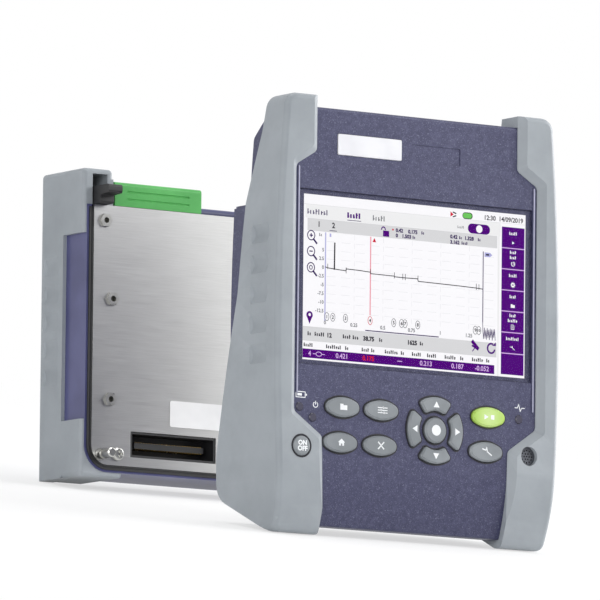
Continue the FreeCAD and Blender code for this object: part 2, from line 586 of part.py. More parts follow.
def make_bumper():
    """The right-hand rubber: ear, side grip, front rail, lower pad and heel."""
    body = outline(0.0, EAR_TOP, FOOT_Y, HEEL_Z - 2, FLANGE_RISE + 5, (EAR_ROUND, TOE_ROUND))
    profile = [(EAR_TOP + 5, FLANGE_RISE, 0), (EAR_TOP + 5, bumper_rear()[0][1], 0)]
    profile += bumper_rear()[1:] + sole_corners(0.0) + front_corners(FLANGE_RISE)
    body = body.common(slab_yz(profile, 0, FAR))
    body = body.makeFillet(EDGE_ROUND, outer_rim(body))
    body = body.cut(slab_xy(inner_corners(0.0), HEEL_Z - 5, FLANGE_RISE + 5))
    base, top = (loop(inner_corners(gap), lambda a, b, z=z: Vector(a, b, z))
                 for gap, z in ((0.0, FLANGE_RISE - LIP_H), (LIP_W, FLANGE_RISE)))
    slope = Part.makeLoft([base, top], True, True)
    body = body.cut(slope)
    body = body.cut(box(0, MOD_HALF + DOCK_CLEAR, HEEL_TOP, EAR_TOP, HEEL_Z - 5, MATE_Z))
    body = body.cut(case_block(0.0, BUMPER_WALL - SKIN_GAP, 0.0, HEEL_Z - 5))
    return cut(body, notches(NOTCH_TOP, NOTCH_PITCH, side_x, -NOTCH_BACK, -NOTCH_FRONT, NOTCH_DEEP))


def outer_rim(body):
    """Edges of the front face that run along the outer side, the ear and the foot."""
    rim = []
    for edge in body.Edges:
        middle = edge.valueAt((edge.FirstParameter + edge.LastParameter) / 2)
        ends = [vertex.Point for vertex in edge.Vertexes] + [middle]
        if middle.x > 1 and all(abs(p.z - front_z(p.y, FLANGE_RISE)) < 1e-3 for p in ends):
            across = abs(ends[0].x - ends[-2].x) > FOOT_HALF / 2
            inside = abs(middle.y) < CASE_TOP and side_x(middle.y) - middle.x > 3
            if (across and not inside) or side_x(middle.y) - middle.x < 3:
                rim.append(edge)
    return rim


def make_bumper_left():
    """The left-hand rubber has the power key's hole."""
    body = mirrored(make_bumper())
    return body.cut(post(POWER_X, POWER_Y, POWER_R + KEY_GAP + RING_W, -HOLE_DEEP,
                         FLANGE_RISE + 1))


def make_bumper_right():
    """The right-hand rubber has the sound hole."""
    return make_bumper().cut(post(SOUND_X, SOUND_Y, SOUND_R, -1, FLANGE_RISE + 1))


def notches(top, pitch, half, back, front, deep):
    """Scoops across the outer face of a right-hand grip, running along Z."""
    radius = (NOTCH_H ** 2 / 4 + deep ** 2) / (2 * deep)
    tools = []
    for k in range(NOTCH_COUNT):
        y = top - k * pitch
        bar = post(half(y) + radius - deep, y, radius, back, front)
        tools.append(eased(eased(bar, front, 2 * deep), back, 2 * deep))
    return tools


# ---- mainframe: display, plates and boards ------------------------------------------------
def make_display_window():
    half_w, half_h = VIEW_W / 2 + LENS_MARGIN, VIEW_H / 2 + LENS_MARGIN
    back = -LENS_SINK - LENS_T
    return rounded_box(-half_w, half_w, -half_h, half_h, back, -LENS_SINK, 0.8)


def make_lcd_panel():
    """Display module: glass over a light guide in a thin steel tray, with its flex tail."""
    half_w, half_h = VIEW_W / 2 + LCD_MARGIN, VIEW_H / 2 + LCD_MARGIN
    front = -CASE_WALL - 0.1
    back = front - LCD_T
    tray = rounded_box(-half_w, half_w, -half_h - 1.5, half_h, back, front, 1.0)
    glass = box(-VIEW_W / 2, VIEW_W / 2, -VIEW_H / 2, VIEW_H / 2, front - 0.1,
                -LENS_SINK - LENS_T - 0.1)
    tail = box(-12, 12, -half_h - 1, -half_h + 14, back - 0.3, back)
    return union([tray, glass, tail])


def make_name_plate():
    x0, x1 = LOGO_X - LOGO_W / 2, LOGO_X + LOGO_W / 2
    y0, y1 = LOGO_Y - LOGO_H / 2, LOGO_Y + LOGO_H / 2
    plate = rounded_box(x0, x1, y0, y1, -DEBOSS, LOGO_T - DEBOSS, 0.6)
    return eased(plate, LOGO_T - DEBOSS, 0.2)


def make_display_trims():
    """Bright strips that stand beside the display."""
    strips = []
    for side in PAIR:
        x = side * TRIM_X
        strips.append(rounded_box(x - TRIM_W / 2, x + TRIM_W / 2, TRIM_LOW, TRIM_TOP, 0, TRIM_T,
                                  TRIM_W * 0.4))
    return Part.Compound(strips)


def make_status_lenses():
    """Light pipes over the indicator diodes."""
    return Part.Compound([eased(post(x, y, LED_R, KEYBOARD_TOP + 0.9, 0.5), 0.5, 0.35)
                          for x, y in led_spots()])


def make_status_diodes():
    return Part.Compound([box(x - 0.8, x + 0.8, y - 0.5, y + 0.5, KEYBOARD_TOP, KEYBOARD_TOP + 0.7)
                          for x, y in led_spots()])


def key_spots():
    """Where every key presses its dome."""
    spots = [(x, row(y)) for x, y in OVAL_KEYS.values()]
    spots += [(PAD_X, PAD_Y), (POWER_X, POWER_Y)]
    reach = (PAD_R + PAD_HUB) / 2
    spots += [(PAD_X + reach * dx, PAD_Y + reach * dy) for dx, dy in ((1, 0), (0, 1), (-1, 0), (0, -1))]
    return spots


def row(below):
    """Height of a row of keys from its distance below the active area."""
    return -VIEW_H / 2 + below


def led_spots():
    """Centres of the indicator lamps."""
    left = [(-FOOT_HALF + x, PAD_TOP + rise) for x, rise in LEDS_LEFT]
    return left + [(FOOT_HALF - x, PAD_TOP + rise) for x, rise in LEDS_RIGHT]


def make_key_domes():
    """Snap domes on the key board, one under each key."""
    domes = []
    for x, y in key_spots():
        dome = Part.makeCone(DOME_R, DOME_R * 0.5, DOME_H, Vector(x, y, KEYBOARD_TOP))
        domes.append(dome)
    return Part.Compound(domes)


def make_key_board():
    top, low = row(-KEYBOARD_BELOW), FOOT_Y + KEYBOARD_LIFT
    board = slab_xy([(side_x(top, 8), top, 2), (-side_x(top, 8), top, 2),
                     (-side_x(low, 8), low, 4), (side_x(low, 8), low, 4)],
                    KEYBOARD_TOP - BOARD_T, KEYBOARD_TOP)
    return board.cut(post(SOUND_X, SOUND_Y, SPEAKER_R + 0.4, -HOLE_DEEP, 0))


def make_main_board():
    """Main circuit board behind the display, with its shield can and processor."""
    half = VIEW_W / 2 + BOARD_MARGIN
    top, low = CASE_TOP - BOARD_DROP, FOOT_Y + BOARD_LIFT
    board = slab_xy([(half, top, 2), (-half, top, 2), (-half, low, 2), (half, low, 2)],
                    MAINBOARD_TOP - BOARD_T, MAINBOARD_TOP)
    for x, y in board_posts():
        board = board.cut(post(x, y, 1.6, MAINBOARD_TOP - 3, MAINBOARD_TOP + 1))
    back = MAINBOARD_TOP - BOARD_T
    can = rounded_box(-34, 2, 6, 40, back - 3.2, back, 1.0)
    chips = [box(x - 6, x + 6, y - 6, y + 6, back - 1.4, back) for x, y in ((20, 26), (20, 6), (38, 26))]
    return union([board, can] + chips)


def board_posts():
    """Where the main board is held."""
    upper = (GRIP_HALF - POST_IN, EAR_TOP - POST_DROP)
    lower = (GRIP_HALF - POST_IN - 3.0, FOOT_Y + POST_LIFT)
    return [(side * x, y) for side in PAIR for x, y in (upper, lower)]


def make_board_posts():
    """Brass pillars that carry the main board on the rear case."""
    return Part.Compound([post(x, y, 2.6, MATE_Z + CASE_WALL, MAINBOARD_TOP - BOARD_T)
                          for x, y in board_posts()])


def make_board_screws():
    return Part.Compound([pan_screw(x, y, MAINBOARD_TOP, 1.45, 2.6, 1.5, BOARD_T)
                          for x, y in board_posts()])


def pan_screw(x, y, seat, shank_r, head_r, head_t, length):
    """Pan-head screw with a cross recess, its head above the seat and its shank below."""
    top = seat + head_t
    head = eased(post(x, y, head_r, seat, top), top, head_t * 0.45)
    shank = post(x, y, shank_r, seat - length, seat)
    slot, arm = head_r * 0.18, head_r * 0.55
    cross = [box(x - arm, x + arm, y - slot, y + slot, top - head_t * 0.5, top + 1),
             box(x - slot, x + slot, y - arm, y + arm, top - head_t * 0.5, top + 1)]
    return cut(union([head, shank]), cross)


def make_battery_cells():
    """Two rechargeable cells end to end in the heel, with their raised positive caps."""
    cells = []
    for start in (-CELL_L - 1.5, 0.5):
        can = crossbar(CELL_Y, CELL_Z, CELL_R, start, start + CELL_L - 1)
        can = can.makeChamfer(0.8, [e for e in can.Edges if not along(e, 0)])
        cells.append(union([can, crossbar(CELL_Y, CELL_Z, 3.0, start + CELL_L - 1, start + CELL_L)]))
    return Part.Compound(cells)


def make_battery_cradle():
    """Moulded cradle that holds the cells by their ends and middle."""
    ribs = []
    for x in (-CELL_L + 4, -8, 8, CELL_L - 6):
        rib = box(x - 1, x + 1, CASE_FOOT + CASE_WALL + 5, HEEL_TOP - CASE_WALL - 0.3,
                  KEYBOARD_TOP - BOARD_T - 5, KEYBOARD_TOP - BOARD_T - 1.0)
        ribs.append(rib)
    deck = box(-CELL_L + 3, CELL_L - 5, CASE_FOOT + CASE_WALL + 5, HEEL_TOP - CASE_WALL - 0.3,
               KEYBOARD_TOP - BOARD_T - 3.0, KEYBOARD_TOP - BOARD_T - 1.0)
    body = union(ribs + [deck])
    return body.cut(crossbar(CELL_Y, CELL_Z, CELL_R + 0.2, -FAR, FAR))


def make_speaker():
    """Round speaker behind the grille in the right-hand pad."""
    front = -CASE_WALL - 0.2
    can = post(SOUND_X, SOUND_Y, SPEAKER_R, front - SPEAKER_T, front)
    return eased(can, front - SPEAKER_T, 0.6)


def make_sound_grille():
    """Perforated disc in the sound hole."""
    disc = post(SOUND_X, SOUND_Y, SOUND_R - 0.1, GRILLE_LOW, GRILLE_LOW + GRILLE_T)
    holes = [(0.0, 0.0)]
    for ring, count in ((1.25, 6), (2.5, 12)):
        holes += [(ring * math.cos(2 * math.pi * k / count), ring * math.sin(2 * math.pi * k / count))
                  for k in range(count)]
    pins = [box(SOUND_X + dx - 0.3, SOUND_X + dx + 0.3, SOUND_Y + dy - 0.3, SOUND_Y + dy + 0.3,
                GRILLE_LOW - 1, GRILLE_LOW + 2) for dx, dy in holes]
    return cut(disc, pins)


def make_docking_plug():
    """Card-edge plug on the back of the mainframe that enters the module's socket."""
    w, h = SOCKET_W - 2 * PLUG_GAP, SOCKET_H - 2 * PLUG_GAP
    front = MATE_Z + CASE_WALL
    base = box(SOCKET_X - w / 2 - 2, SOCKET_X + w / 2 + 2, SOCKET_Y - h / 2 - 1, SOCKET_Y + h / 2 + 1,
               front + 0.1, MAINBOARD_TOP - BOARD_T)
    neck = box(SOCKET_X - w / 2 + 0.1, SOCKET_X + w / 2 - 0.1, SOCKET_Y - h / 2 + 0.1,
               SOCKET_Y + h / 2 - 0.1, MATE_Z - PLUG_REACH, front + 0.2)
    neck = neck.makeFillet(0.8, edges_at(neck, 2, MATE_Z - PLUG_REACH))
    slot = box(SOCKET_X - TONGUE_W / 2 - 0.5, SOCKET_X + TONGUE_W / 2 + 0.5, SOCKET_Y - TONGUE_T / 2 - 0.7,
               SOCKET_Y + TONGUE_T / 2 + 0.7, MATE_Z - PLUG_REACH - 1, MATE_Z - 3.0)
    return union([base, neck]).cut(slot)


def make_dock_nuts():
    """Threaded inserts that take the module's captive screws."""
    nuts = []
    for side in PAIR:
        nut = post(side * SCREW_X, SCREW_Y, SCREW_R + 2.0, MATE_Z + CASE_WALL + 0.1, MAINBOARD_TOP - 3.0)
        nuts.append(nut.cut(post(side * SCREW_X, SCREW_Y, SCREW_R + 0.1, MATE_Z, 0)))
    return Part.Compound(nuts)


# ---- keys ---------------------------------------------------------------------------------
def key_cap(maker, grow, top):
    """A key from its outline maker: a bevelled cap above a skirt that stays behind the panel."""
    skirt_top = -CASE_WALL - 0.3
    cap = eased(maker(0.0, skirt_top - SKIRT_T, top), top, KEY_EDGE)
    return union([cap, maker(grow, skirt_top - SKIRT_T, skirt_top)])


def make_oval_key(name):
    x, y = OVAL_KEYS[name]
    return key_cap(lambda g, z0, z1: oval(x, row(y), KEY_W + 2 * g, KEY_H + 2 * g, z0, z1),
                   SKIRT_W, KEY_RISE)


def make_power_key():
    return key_cap(lambda g, z0, z1: post(POWER_X, POWER_Y, POWER_R + g, z0, z1),
                   SKIRT_W, FLANGE_RISE + 0.9)


def make_enter_key():
    return key_cap(lambda g, z0, z1: post(PAD_X, PAD_Y, ENTER_R + g, z0, z1), SKIRT_W, KEY_RISE)


def make_arrow_key(name):
    return key_cap(lambda g, z0, z1: arrow_bar(ARROWS[name], g, z0, z1), SKIRT_W, KEY_RISE)


def make_key_rings():
    """Dark trim rings set in the front panel round the keys."""
    low, wide = -CASE_WALL + 0.4, KEY_GAP + RING_W

    def ring(maker, top):
        return maker(wide, low, top).cut(maker(KEY_GAP, low - 1, top + 1))
    rings = []
    for x, y in OVAL_KEYS.values():
        rings.append(ring(lambda g, z0, z1: oval(x, row(y), KEY_W + 2 * g, KEY_H + 2 * g, z0, z1),
                          RING_RISE))
    for turn in ARROWS.values():
        rings.append(ring(lambda g, z0, z1: arrow_bar(turn, g, z0, z1), RING_RISE))
    rings.append(ring(lambda g, z0, z1: post(PAD_X, PAD_Y, ENTER_R + g, z0, z1), RING_RISE))
    rings.append(ring(lambda g, z0, z1: post(POWER_X, POWER_Y, POWER_R + g, z0, z1),
                      FLANGE_RISE + RING_RISE))
    return Part.Compound(rings)


# ---- module: casings ----------------------------------------------------------------------
def make_module_cover():
    """Rear shell of the module: back, sides, base and the rail along its top."""
    half = MOD_HALF - PAD_T
    low = MOD_FOOT + FLOOR_PAD_T
    lip = PLATE_Z - PLATE_T * 0.5
    rail_z = PLATE_Z - RAIL_FRONT
    outer = slab_xy([(half, BAY_Y, 0), (-half, BAY_Y, 0), (-half, low, COVER_ROUND),
                     (half, low, COVER_ROUND)], MOD_BACK, lip)
    rail = slab_yz([(BAY_Y - 3, rail_z, 0), (BAY_Y + RAIL_H, rail_z, 2), (BAY_Y + RAIL_H,
                    rail_z - RAIL_T, 2), (BAY_Y, MOD_BACK, 0), (BAY_Y - 3, MOD_BACK, 0)],
                   -MOD_HALF + BLOCK_W, MOD_HALF - BLOCK_W)
    outer = union([outer, rail])
    inner_half = half - COVER_WALL
    room = slab_xy([(inner_half, BAY_Y + 1, 0), (-inner_half, BAY_Y + 1, 0),
                    (-inner_half, low + COVER_WALL, COVER_ROUND - COVER_WALL),
                    (inner_half, low + COVER_WALL, COVER_ROUND - COVER_WALL)],
                   MOD_BACK + COVER_WALL, lip + 1)
    room = room.cut(box(-MOD_HALF + BLOCK_W, MOD_HALF - BLOCK_W, BAY_Y - 3, BAY_Y + RAIL_H,
                        rail_z - RAIL_T, rail_z))
    tools = [room]
    for side in PAIR:
        tools.append(post(side * SCREW_X, SCREW_Y, SCREW_HEAD_R + SCREW_GAP, MOD_BACK - 1,
                          MOD_BACK + COVER_WALL + 1))
    return cut(outer, tools)


def rounded_by(solid, r, faces):
    """The same solid with the edges rounded that lie on two of these (axis, value) planes."""
    rim = []
    for edge in solid.Edges:
        limits = edge.BoundBox
        spans = ((limits.XMin, limits.XMax), (limits.YMin, limits.YMax), (limits.ZMin, limits.ZMax))
        hits = [f for f in faces if all(abs(v - f[1]) < 1e-4 for v in spans[f[0]])]
        if len(hits) == 2:
            rim.append(edge)
    return solid.makeFillet(r, rim)


def make_module_bumper():
    """Right-hand rubber of the module: corner block, grip strip and base block."""
    half, top, low = MOD_HALF, MOD_TOP, MOD_FOOT
    front, back = PLATE_Z - 1.0, MOD_BACK
    block = box(half - BLOCK_W, half, top - BLOCK_H, top, back, front)
    block = rounded_by(block, MOD_EDGE, ((0, half), (0, half - BLOCK_W), (1, top), (2, front), (2, back)))
    inner = box(half - BLOCK_W, half - BLOCK_W + 3, top - BLOCK_H, top - 4, back, front)
    strip = box(half - PAD_T - 6, half, low, top - BLOCK_H + 3, back, front - STRIP_FRONT + 1.0)
    strip = rounded_by(strip, MOD_EDGE, ((0, half), (2, back)))
    base = box(half - BASE_W, half, low, low + BASE_BLOCK_H, back, front)
    base = rounded_by(base, MOD_EDGE, ((0, half), (1, low), (2, back), (2, front)))
    body = union([block, inner, strip, base])
    cover = slab_xy([(half - PAD_T, BAY_Y, 0), (-half, BAY_Y, 0), (-half, low + FLOOR_PAD_T, 0),
                     (half - PAD_T, low + FLOOR_PAD_T, COVER_ROUND)], back - 1, front + 3)
    body = body.cut(cover)
    side = HOOK_W / 2 + HOOK_FIT
    slot = box(HOOK_X - side, HOOK_X + side, BAY_Y - 1, top - HOOK_ROOF, front - 14.0, front + 1)
    scoops = notches(top - MOD_NOTCH_DROP, MOD_NOTCH_PITCH, lambda y: half, back + MOD_NOTCH_SIDE,
                     front - STRIP_FRONT + 1.0 - MOD_NOTCH_SIDE, MOD_NOTCH_DEEP)
    return cut(body, [slot] + scoops)


def make_mating_plate():
    """Bright steel plate that closes the front of the module, with a folded top flange."""
    half, low = MOD_HALF - PLATE_MARGIN, MOD_FOOT + PLATE_FOOT
    plate = slab_xy([(half, BAY_Y, 0), (-half, BAY_Y, 0), (-half, low, PLATE_ROUND),
                     (half, low, PLATE_ROUND)], PLATE_Z - PLATE_T, PLATE_Z)
    lip_half = MOD_HALF - BLOCK_W - 0.4
    lip = box(-lip_half, lip_half, BAY_Y - PANEL_T - PLATE_T, BAY_Y - PANEL_T,
              PLATE_Z - 3.6, PLATE_Z - PLATE_T)
    plate = union([plate, lip])
    w, h = SOCKET_W, SOCKET_H
    tools = [box(SOCKET_X - w / 2, SOCKET_X + w / 2, SOCKET_Y - h / 2, SOCKET_Y + h / 2,
                 PLATE_Z - 3, PLATE_Z + 1)]
    for side in PAIR:
        tools.append(post(side * SCREW_X, SCREW_Y, SCREW_R + 0.1, PLATE_Z - 3, PLATE_Z + 1))
        tools.append(post(side * PAN_X, PAN_Y, 1.4, PLATE_Z - 3, PLATE_Z + 1))
        tools += [post(side * x, y, 2.3, PLATE_Z - 3, PLATE_Z + 1) for x, y in stud_spots()]
    return cut(plate, tools)


def stud_spots():
    """Where the right-hand studs stand on the plate."""
    return [(MOD_HALF - inside, y) for inside, y in zip(STUD_IN, STUD_Y)]


def hexagon(x, y, across, z0, z1):
    r = across / math.sqrt(3)
    points = [(x + r * math.cos(math.pi * k / 3), y + r * math.sin(math.pi * k / 3)) for k in range(6)]
    return prism(points, z0, z1)


def make_standoffs():
    """Threaded studs pressed into the plate: a hexagon in front, a barrel behind."""
    studs = []
    for side in PAIR:
        for x, y in stud_spots():
            barrel = post(side * x, y, 2.2, BOARD_TOP, PLATE_Z + 0.1)
            crown = hexagon(side * x, y, 5.0, PLATE_Z + 0.05, PLATE_Z + 1.1)
            bore = post(side * x, y, 1.2, PLATE_Z - 4, PLATE_Z + 2)
            studs.append(union([barrel, crown]).cut(bore))
    return Part.Compound(studs)


def make_plate_screws():
    """Pan-head screws at the foot of the plate."""
    return Part.Compound([pan_screw(side * PAN_X, PAN_Y, PLATE_Z, 1.35, 2.6, 1.3, 5.0)
                          for side in PAIR])


def seal_band(inner, outer, back, front):
    """A U of gasket round the sides and foot of the plate, between two distances from its edge."""
    def u_shape(gap, top, z0, z1):
        half, low = MOD_HALF - PLATE_MARGIN + gap, MOD_FOOT + PLATE_FOOT - gap
        return slab_xy([(half, top, 0), (-half, top, 0), (-half, low, PLATE_ROUND + gap),
                        (half, low, PLATE_ROUND + gap)], z0, z1)
    return u_shape(outer, BAY_Y - 1, back, front).cut(u_shape(inner, BAY_Y + 9, back - 1, front + 1))


def make_plate_seal():
    """Black gasket with two lips: one beside the plate, one on the rim of the cover."""
    rim = PLATE_Z - PLATE_T / 2
    return union([seal_band(0.1, 0.7, PLATE_Z - 2.2, PLATE_Z - 0.1), seal_band(1.4, 2.1, rim, PLATE_Z),
                  seal_band(0.6, 1.5, rim, rim + 0.3)])


def make_plate_label():
    """Blank label on the plate."""
    return rounded_box(LABEL_X - LABEL_W / 2, LABEL_X + LABEL_W / 2, LABEL_Y - LABEL_H / 2,
                       LABEL_Y + LABEL_H / 2, PLATE_Z, PLATE_Z + LABEL_T, 0.8)


def make_docking_socket():
    """Deep black socket with a contact tongue and two rows of contacts."""
    w, h = SOCKET_W, SOCKET_H
    front = PLATE_Z - 0.3
    shell = box(SOCKET_X - w / 2 + 0.1, SOCKET_X + w / 2 - 0.1, SOCKET_Y - h / 2 + 0.1,
                SOCKET_Y + h / 2 - 0.1, front - SOCKET_DEEP - 2, front)
    flange = box(SOCKET_X - w / 2 - 2, SOCKET_X + w / 2 + 2, SOCKET_Y - h / 2 - 1, SOCKET_Y + h / 2 + 1,
                 front - SOCKET_DEEP - 2, PLATE_Z - PLATE_T - 0.1)
    wall = SOCKET_WALL
    room = box(SOCKET_X - w / 2 + wall, SOCKET_X + w / 2 - wall, SOCKET_Y - h / 2 + wall,
               SOCKET_Y + h / 2 - wall, front - SOCKET_DEEP, front + 1)
    body = union([shell, flange]).cut(room)
    tongue = box(SOCKET_X - TONGUE_W / 2, SOCKET_X + TONGUE_W / 2, SOCKET_Y - TONGUE_T / 2,
                 SOCKET_Y + TONGUE_T / 2, front - SOCKET_DEEP - 0.5, front - 3.0)
    return union([body, tongue])


def make_socket_contacts():
    """Gilt contacts on both faces of the socket's tongue."""
    front = PLATE_Z - 0.3
    contacts = []
    for k in range(CONTACT_COUNT):
        x = SOCKET_X + (k - (CONTACT_COUNT - 1) / 2) * CONTACT_PITCH
        for side in PAIR:
            y = SOCKET_Y + side * (TONGUE_T / 2 + 0.1)
            contacts.append(box(x - 0.25, x + 0.25, y - 0.1, y + 0.1, front - SOCKET_DEEP, front - 3.4))
    return Part.Compound(contacts)


def make_top_panel():
    """Black panel across the top of the module, with the fan's grille and the port's opening."""
    half = MOD_HALF - BLOCK_W - 0.3
    front, back = PLATE_Z - PLATE_T - 0.1, PLATE_Z - RAIL_FRONT + 0.1
    panel = box(-half, half, BAY_Y - PANEL_T, BAY_Y, back, front)
    z = PLATE_Z - FAN_DEPTH
    tools = []
    for inner, outer, gap, count in ((FAN_R - 4.4, FAN_R - 1.6, 1.3, 4), (FAN_HUB - 1.4, FAN_R - 5.9, 1.1, 4)):
        ring = upright(FAN_X, z, outer, BAY_Y - 5, BAY_Y + 5).cut(upright(FAN_X, z, inner, BAY_Y - 6,
                                                                         BAY_Y + 6))
        for k in range(count // 2):
            spoke = box(FAN_X - 20, FAN_X + 20, BAY_Y - 6, BAY_Y + 6, z - gap / 2, z + gap / 2)
            spoke.rotate(Vector(FAN_X, BAY_Y, z), Vector(0, 1, 0), 45 + 90 * k)
            ring = ring.cut(spoke)
        tools.append(ring)
    port = PLATE_Z - PORT_DEPTH
    tools.append(box(PORT_X - PORT_W / 2 - 0.2, PORT_X + PORT_W / 2 + 0.2, BAY_Y - 5, BAY_Y + 1,
                     port - PORT_T / 2 - 0.2, port + PORT_T / 2 + 0.2))
    panel = cut(panel, tools)
    lugs = []
    for x0, x1 in lug_spans():
        y, z = pin_place()
        lug = union([crossbar(y, z, KNUCKLE_R, x0, x1),
                     box(x0, x1, BAY_Y - 0.2, y, z - KNUCKLE_R, z + KNUCKLE_R)])
        lugs.append(lug.cut(crossbar(y, z, PIN_R, x0 - 1, x1 + 1)))
    return union([panel] + lugs)


def pin_place():
    """Height and depth of the port cover's hinge pin."""
    return BAY_Y + KNUCKLE_R + 0.5, PLATE_Z - LID_FRONT - LID_DEPTH + KNUCKLE_R


def lug_spans():
    """Where the two hinge lugs stand along X."""
    inner = LID_WALL + LID_GAP
    return ((LID_LEFT + inner, LID_LEFT + inner + LUG_W), (LID_RIGHT - inner - LUG_W, LID_RIGHT - inner))


def make_port_cover():
    """Green dust cover over the optical port: a shell on a knuckle, with grips on its front."""
    front = PLATE_Z - LID_FRONT
    back = front - LID_DEPTH
    low, roof = BAY_Y + 0.3, BAY_Y + LID_RISE
    y, z = pin_place()
    profile = [(low, front, 0), (roof, front, 1.6), (roof, back, 1.6), (low, back, 0)]
    shell = slab_yz(profile, LID_LEFT, LID_RIGHT)
    room = [(low - 1, front - LID_WALL, 0), (roof - LID_WALL, front - LID_WALL, 0.8),
            (roof - LID_WALL, back + LID_WALL, 0.8), (low - 1, back + LID_WALL, 0)]
    shell = shell.cut(slab_yz(room, LID_LEFT + LID_WALL, LID_RIGHT - LID_WALL))
    spans = lug_spans()
    knuckle = crossbar(y, z, KNUCKLE_R, spans[0][1] + LID_GAP, spans[1][0] - LID_GAP)
    shell = union([shell, knuckle])
    tools = [crossbar(y, z, PIN_R + PIN_FIT, LID_LEFT + LID_WALL, LID_RIGHT - LID_WALL)]
    swing = KNUCKLE_R + LID_GAP
    corner = math.hypot(KNUCKLE_R, y - BAY_Y) + LID_GAP
    for x0, x1 in spans:
        x0, x1 = x0 - LID_GAP, x1 + LID_GAP
        tools += [crossbar(y, z, corner, x0, x1), box(x0, x1, low - 1, y + swing, back - 1, z + swing)]
    heel = box(LID_LEFT - 1, LID_RIGHT + 1, low - 1, y, back - 1, z).cut(
        crossbar(y, z, KNUCKLE_R, LID_LEFT - 2, LID_RIGHT + 2))
    tools.append(heel)
    for k in (1, 2):
        gy = low + k * LID_RISE * 0.3
        tools.append(slab_yz([(gy - 0.9, front + 1, 0), (gy, front - 0.7, 0.3), (gy + 0.9, front + 1, 0)],
                             LID_LEFT + 6, LID_RIGHT - 6))
    return cut(shell, tools)


def make_hinge_pin():
    y, z = pin_place()
    spans = lug_spans()
    return crossbar(y, z, PIN_R, spans[0][0], spans[1][1])


def make_optical_port():
    """Connector adapter: a square barrel round a ceramic sleeve."""
    z = PLATE_Z - PORT_DEPTH
    low, top = BAY_Y - 9.0, BAY_Y + 7.0
    x0, x1 = PORT_X - PORT_W / 2, PORT_X + PORT_W / 2
    body = box(x0, x1, low, top, z - PORT_T / 2, z + PORT_T / 2)
    cavity = box(x0 + 1.6, x1 - 1.6, low + 3.0, top + 1, z - PORT_T / 2 + 1.2, z + PORT_T / 2 - 1.2)
    body = body.cut(cavity)
    sleeve = upright(PORT_X, z, PORT_BORE + 0.8, low + 1.0, top - 2.5)
    tail = upright(PORT_X, z, 3.0, low - 5.0, low + 0.5)
    body = union([body, sleeve, tail])
    return body.cut(upright(PORT_X, z, PORT_BORE, top - 2.5 - PORT_BORE_L, top + 1))


def hook_profile():
    """Side view of a docking hook as (y, z, rounding)."""
    low, top = BAY_Y + 0.2, BAY_Y + HOOK_H
    step = low + HOOK_H * 0.45
    back = PLATE_Z - 12.0
    return [(low - 4.0, PLATE_Z - PLATE_T - 0.1, 0), (low - 4.0, PLATE_Z - PLATE_T - 3.0, 0),
            (low - 0.4, PLATE_Z - PLATE_T - 3.0, 0), (low - 0.4, back, 0), (top, back, 0),
            (top, PLATE_Z + HOOK_REACH, 1.2), (step + 0.4, PLATE_Z + HOOK_REACH, 1.0),
            (step, PLATE_Z + HOOK_STEP, 0.4), (low, PLATE_Z + HOOK_STEP, 0.8),
            (low, PLATE_Z + 0.1, 0), (low - 0.15, PLATE_Z - PLATE_T - 0.1, 0)]


def make_docking_hook():
    """Right-hand docking hook: a stepped tongue on a foot behind the plate."""
    return slab_yz(hook_profile(), HOOK_X - HOOK_W / 2, HOOK_X + HOOK_W / 2)


def make_captive_screw(side):
    """Captive screw: slotted head at the back of the module, long shank and a retaining collar."""
    x, back = side * SCREW_X, MOD_BACK + 0.5
    head = post(x, SCREW_Y, SCREW_HEAD_R, back, back + 4.0)
    slot = box(x - SCREW_HEAD_R - 1, x + SCREW_HEAD_R + 1, SCREW_Y - 0.5, SCREW_Y + 0.5, back - 1, back + 1.2)
    tip = PLATE_Z + SCREW_REACH
    shank = post(x, SCREW_Y, SCREW_R, back + 3.5, tip)
    shank = shank.makeChamfer(0.5, edges_at(shank, 2, tip))
    collar = post(x, SCREW_Y, SCREW_R + 0.45, PLATE_Z + 0.2, PLATE_Z + 3.2)
    return union([head, shank, collar]).cut(slot)


def make_fan_frame():
    z = PLATE_Z - FAN_DEPTH
    top = BAY_Y - FAN_DROP
    half = FAN_R + 1.3
    frame = box(FAN_X - half, FAN_X + half, top - FAN_T, top, z - half, z + half)
    frame = frame.cut(upright(FAN_X, z, FAN_R, top - FAN_T - 1, top + 1))
    hub = upright(FAN_X, z, FAN_HUB, top - FAN_T, top - FAN_T + 1.2)
    struts = []
    for turn in (30, 150, 270):
        strut = box(FAN_X, FAN_X + FAN_R + 0.5, top - FAN_T, top - FAN_T + 1.2, z - 0.7, z + 0.7)
        strut.rotate(Vector(FAN_X, top, z), Vector(0, 1, 0), turn)
        struts.append(strut)
    pin = upright(FAN_X, z, 0.8, top - FAN_T, top - 2.0)
    return union([frame, hub] + struts + [pin])


def make_fan_rotor():
    """Fan hub with twisted blades, turning on the frame's pin."""
    z = PLATE_Z - FAN_DEPTH
    top = BAY_Y - FAN_DROP
    low = top - FAN_T + 1.2 + 0.3
    hub = upright(FAN_X, z, FAN_HUB, low, top - 0.5)
    tip = FAN_R - FAN_CLEAR
    blades = []
    for k in range(BLADES):
        blade = box(FAN_HUB - 0.6, tip - 0.4, -0.35, 0.35, -2.4, 2.4)
        blade.rotate(Vector(0, 0, 0), Vector(1, 0, 0), 40)
        blade.rotate(Vector(0, 0, 0), Vector(0, 0, 1), 360.0 * k / BLADES)
        blade.rotate(Vector(0, 0, 0), Vector(1, 0, 0), -90)
        blade.translate(Vector(FAN_X, (low + top - 0.5) / 2, z))
        blades.append(blade)
    return union([hub] + blades).cut(upright(FAN_X, z, 0.8 + 0.05, low - 1, top - 1.6))


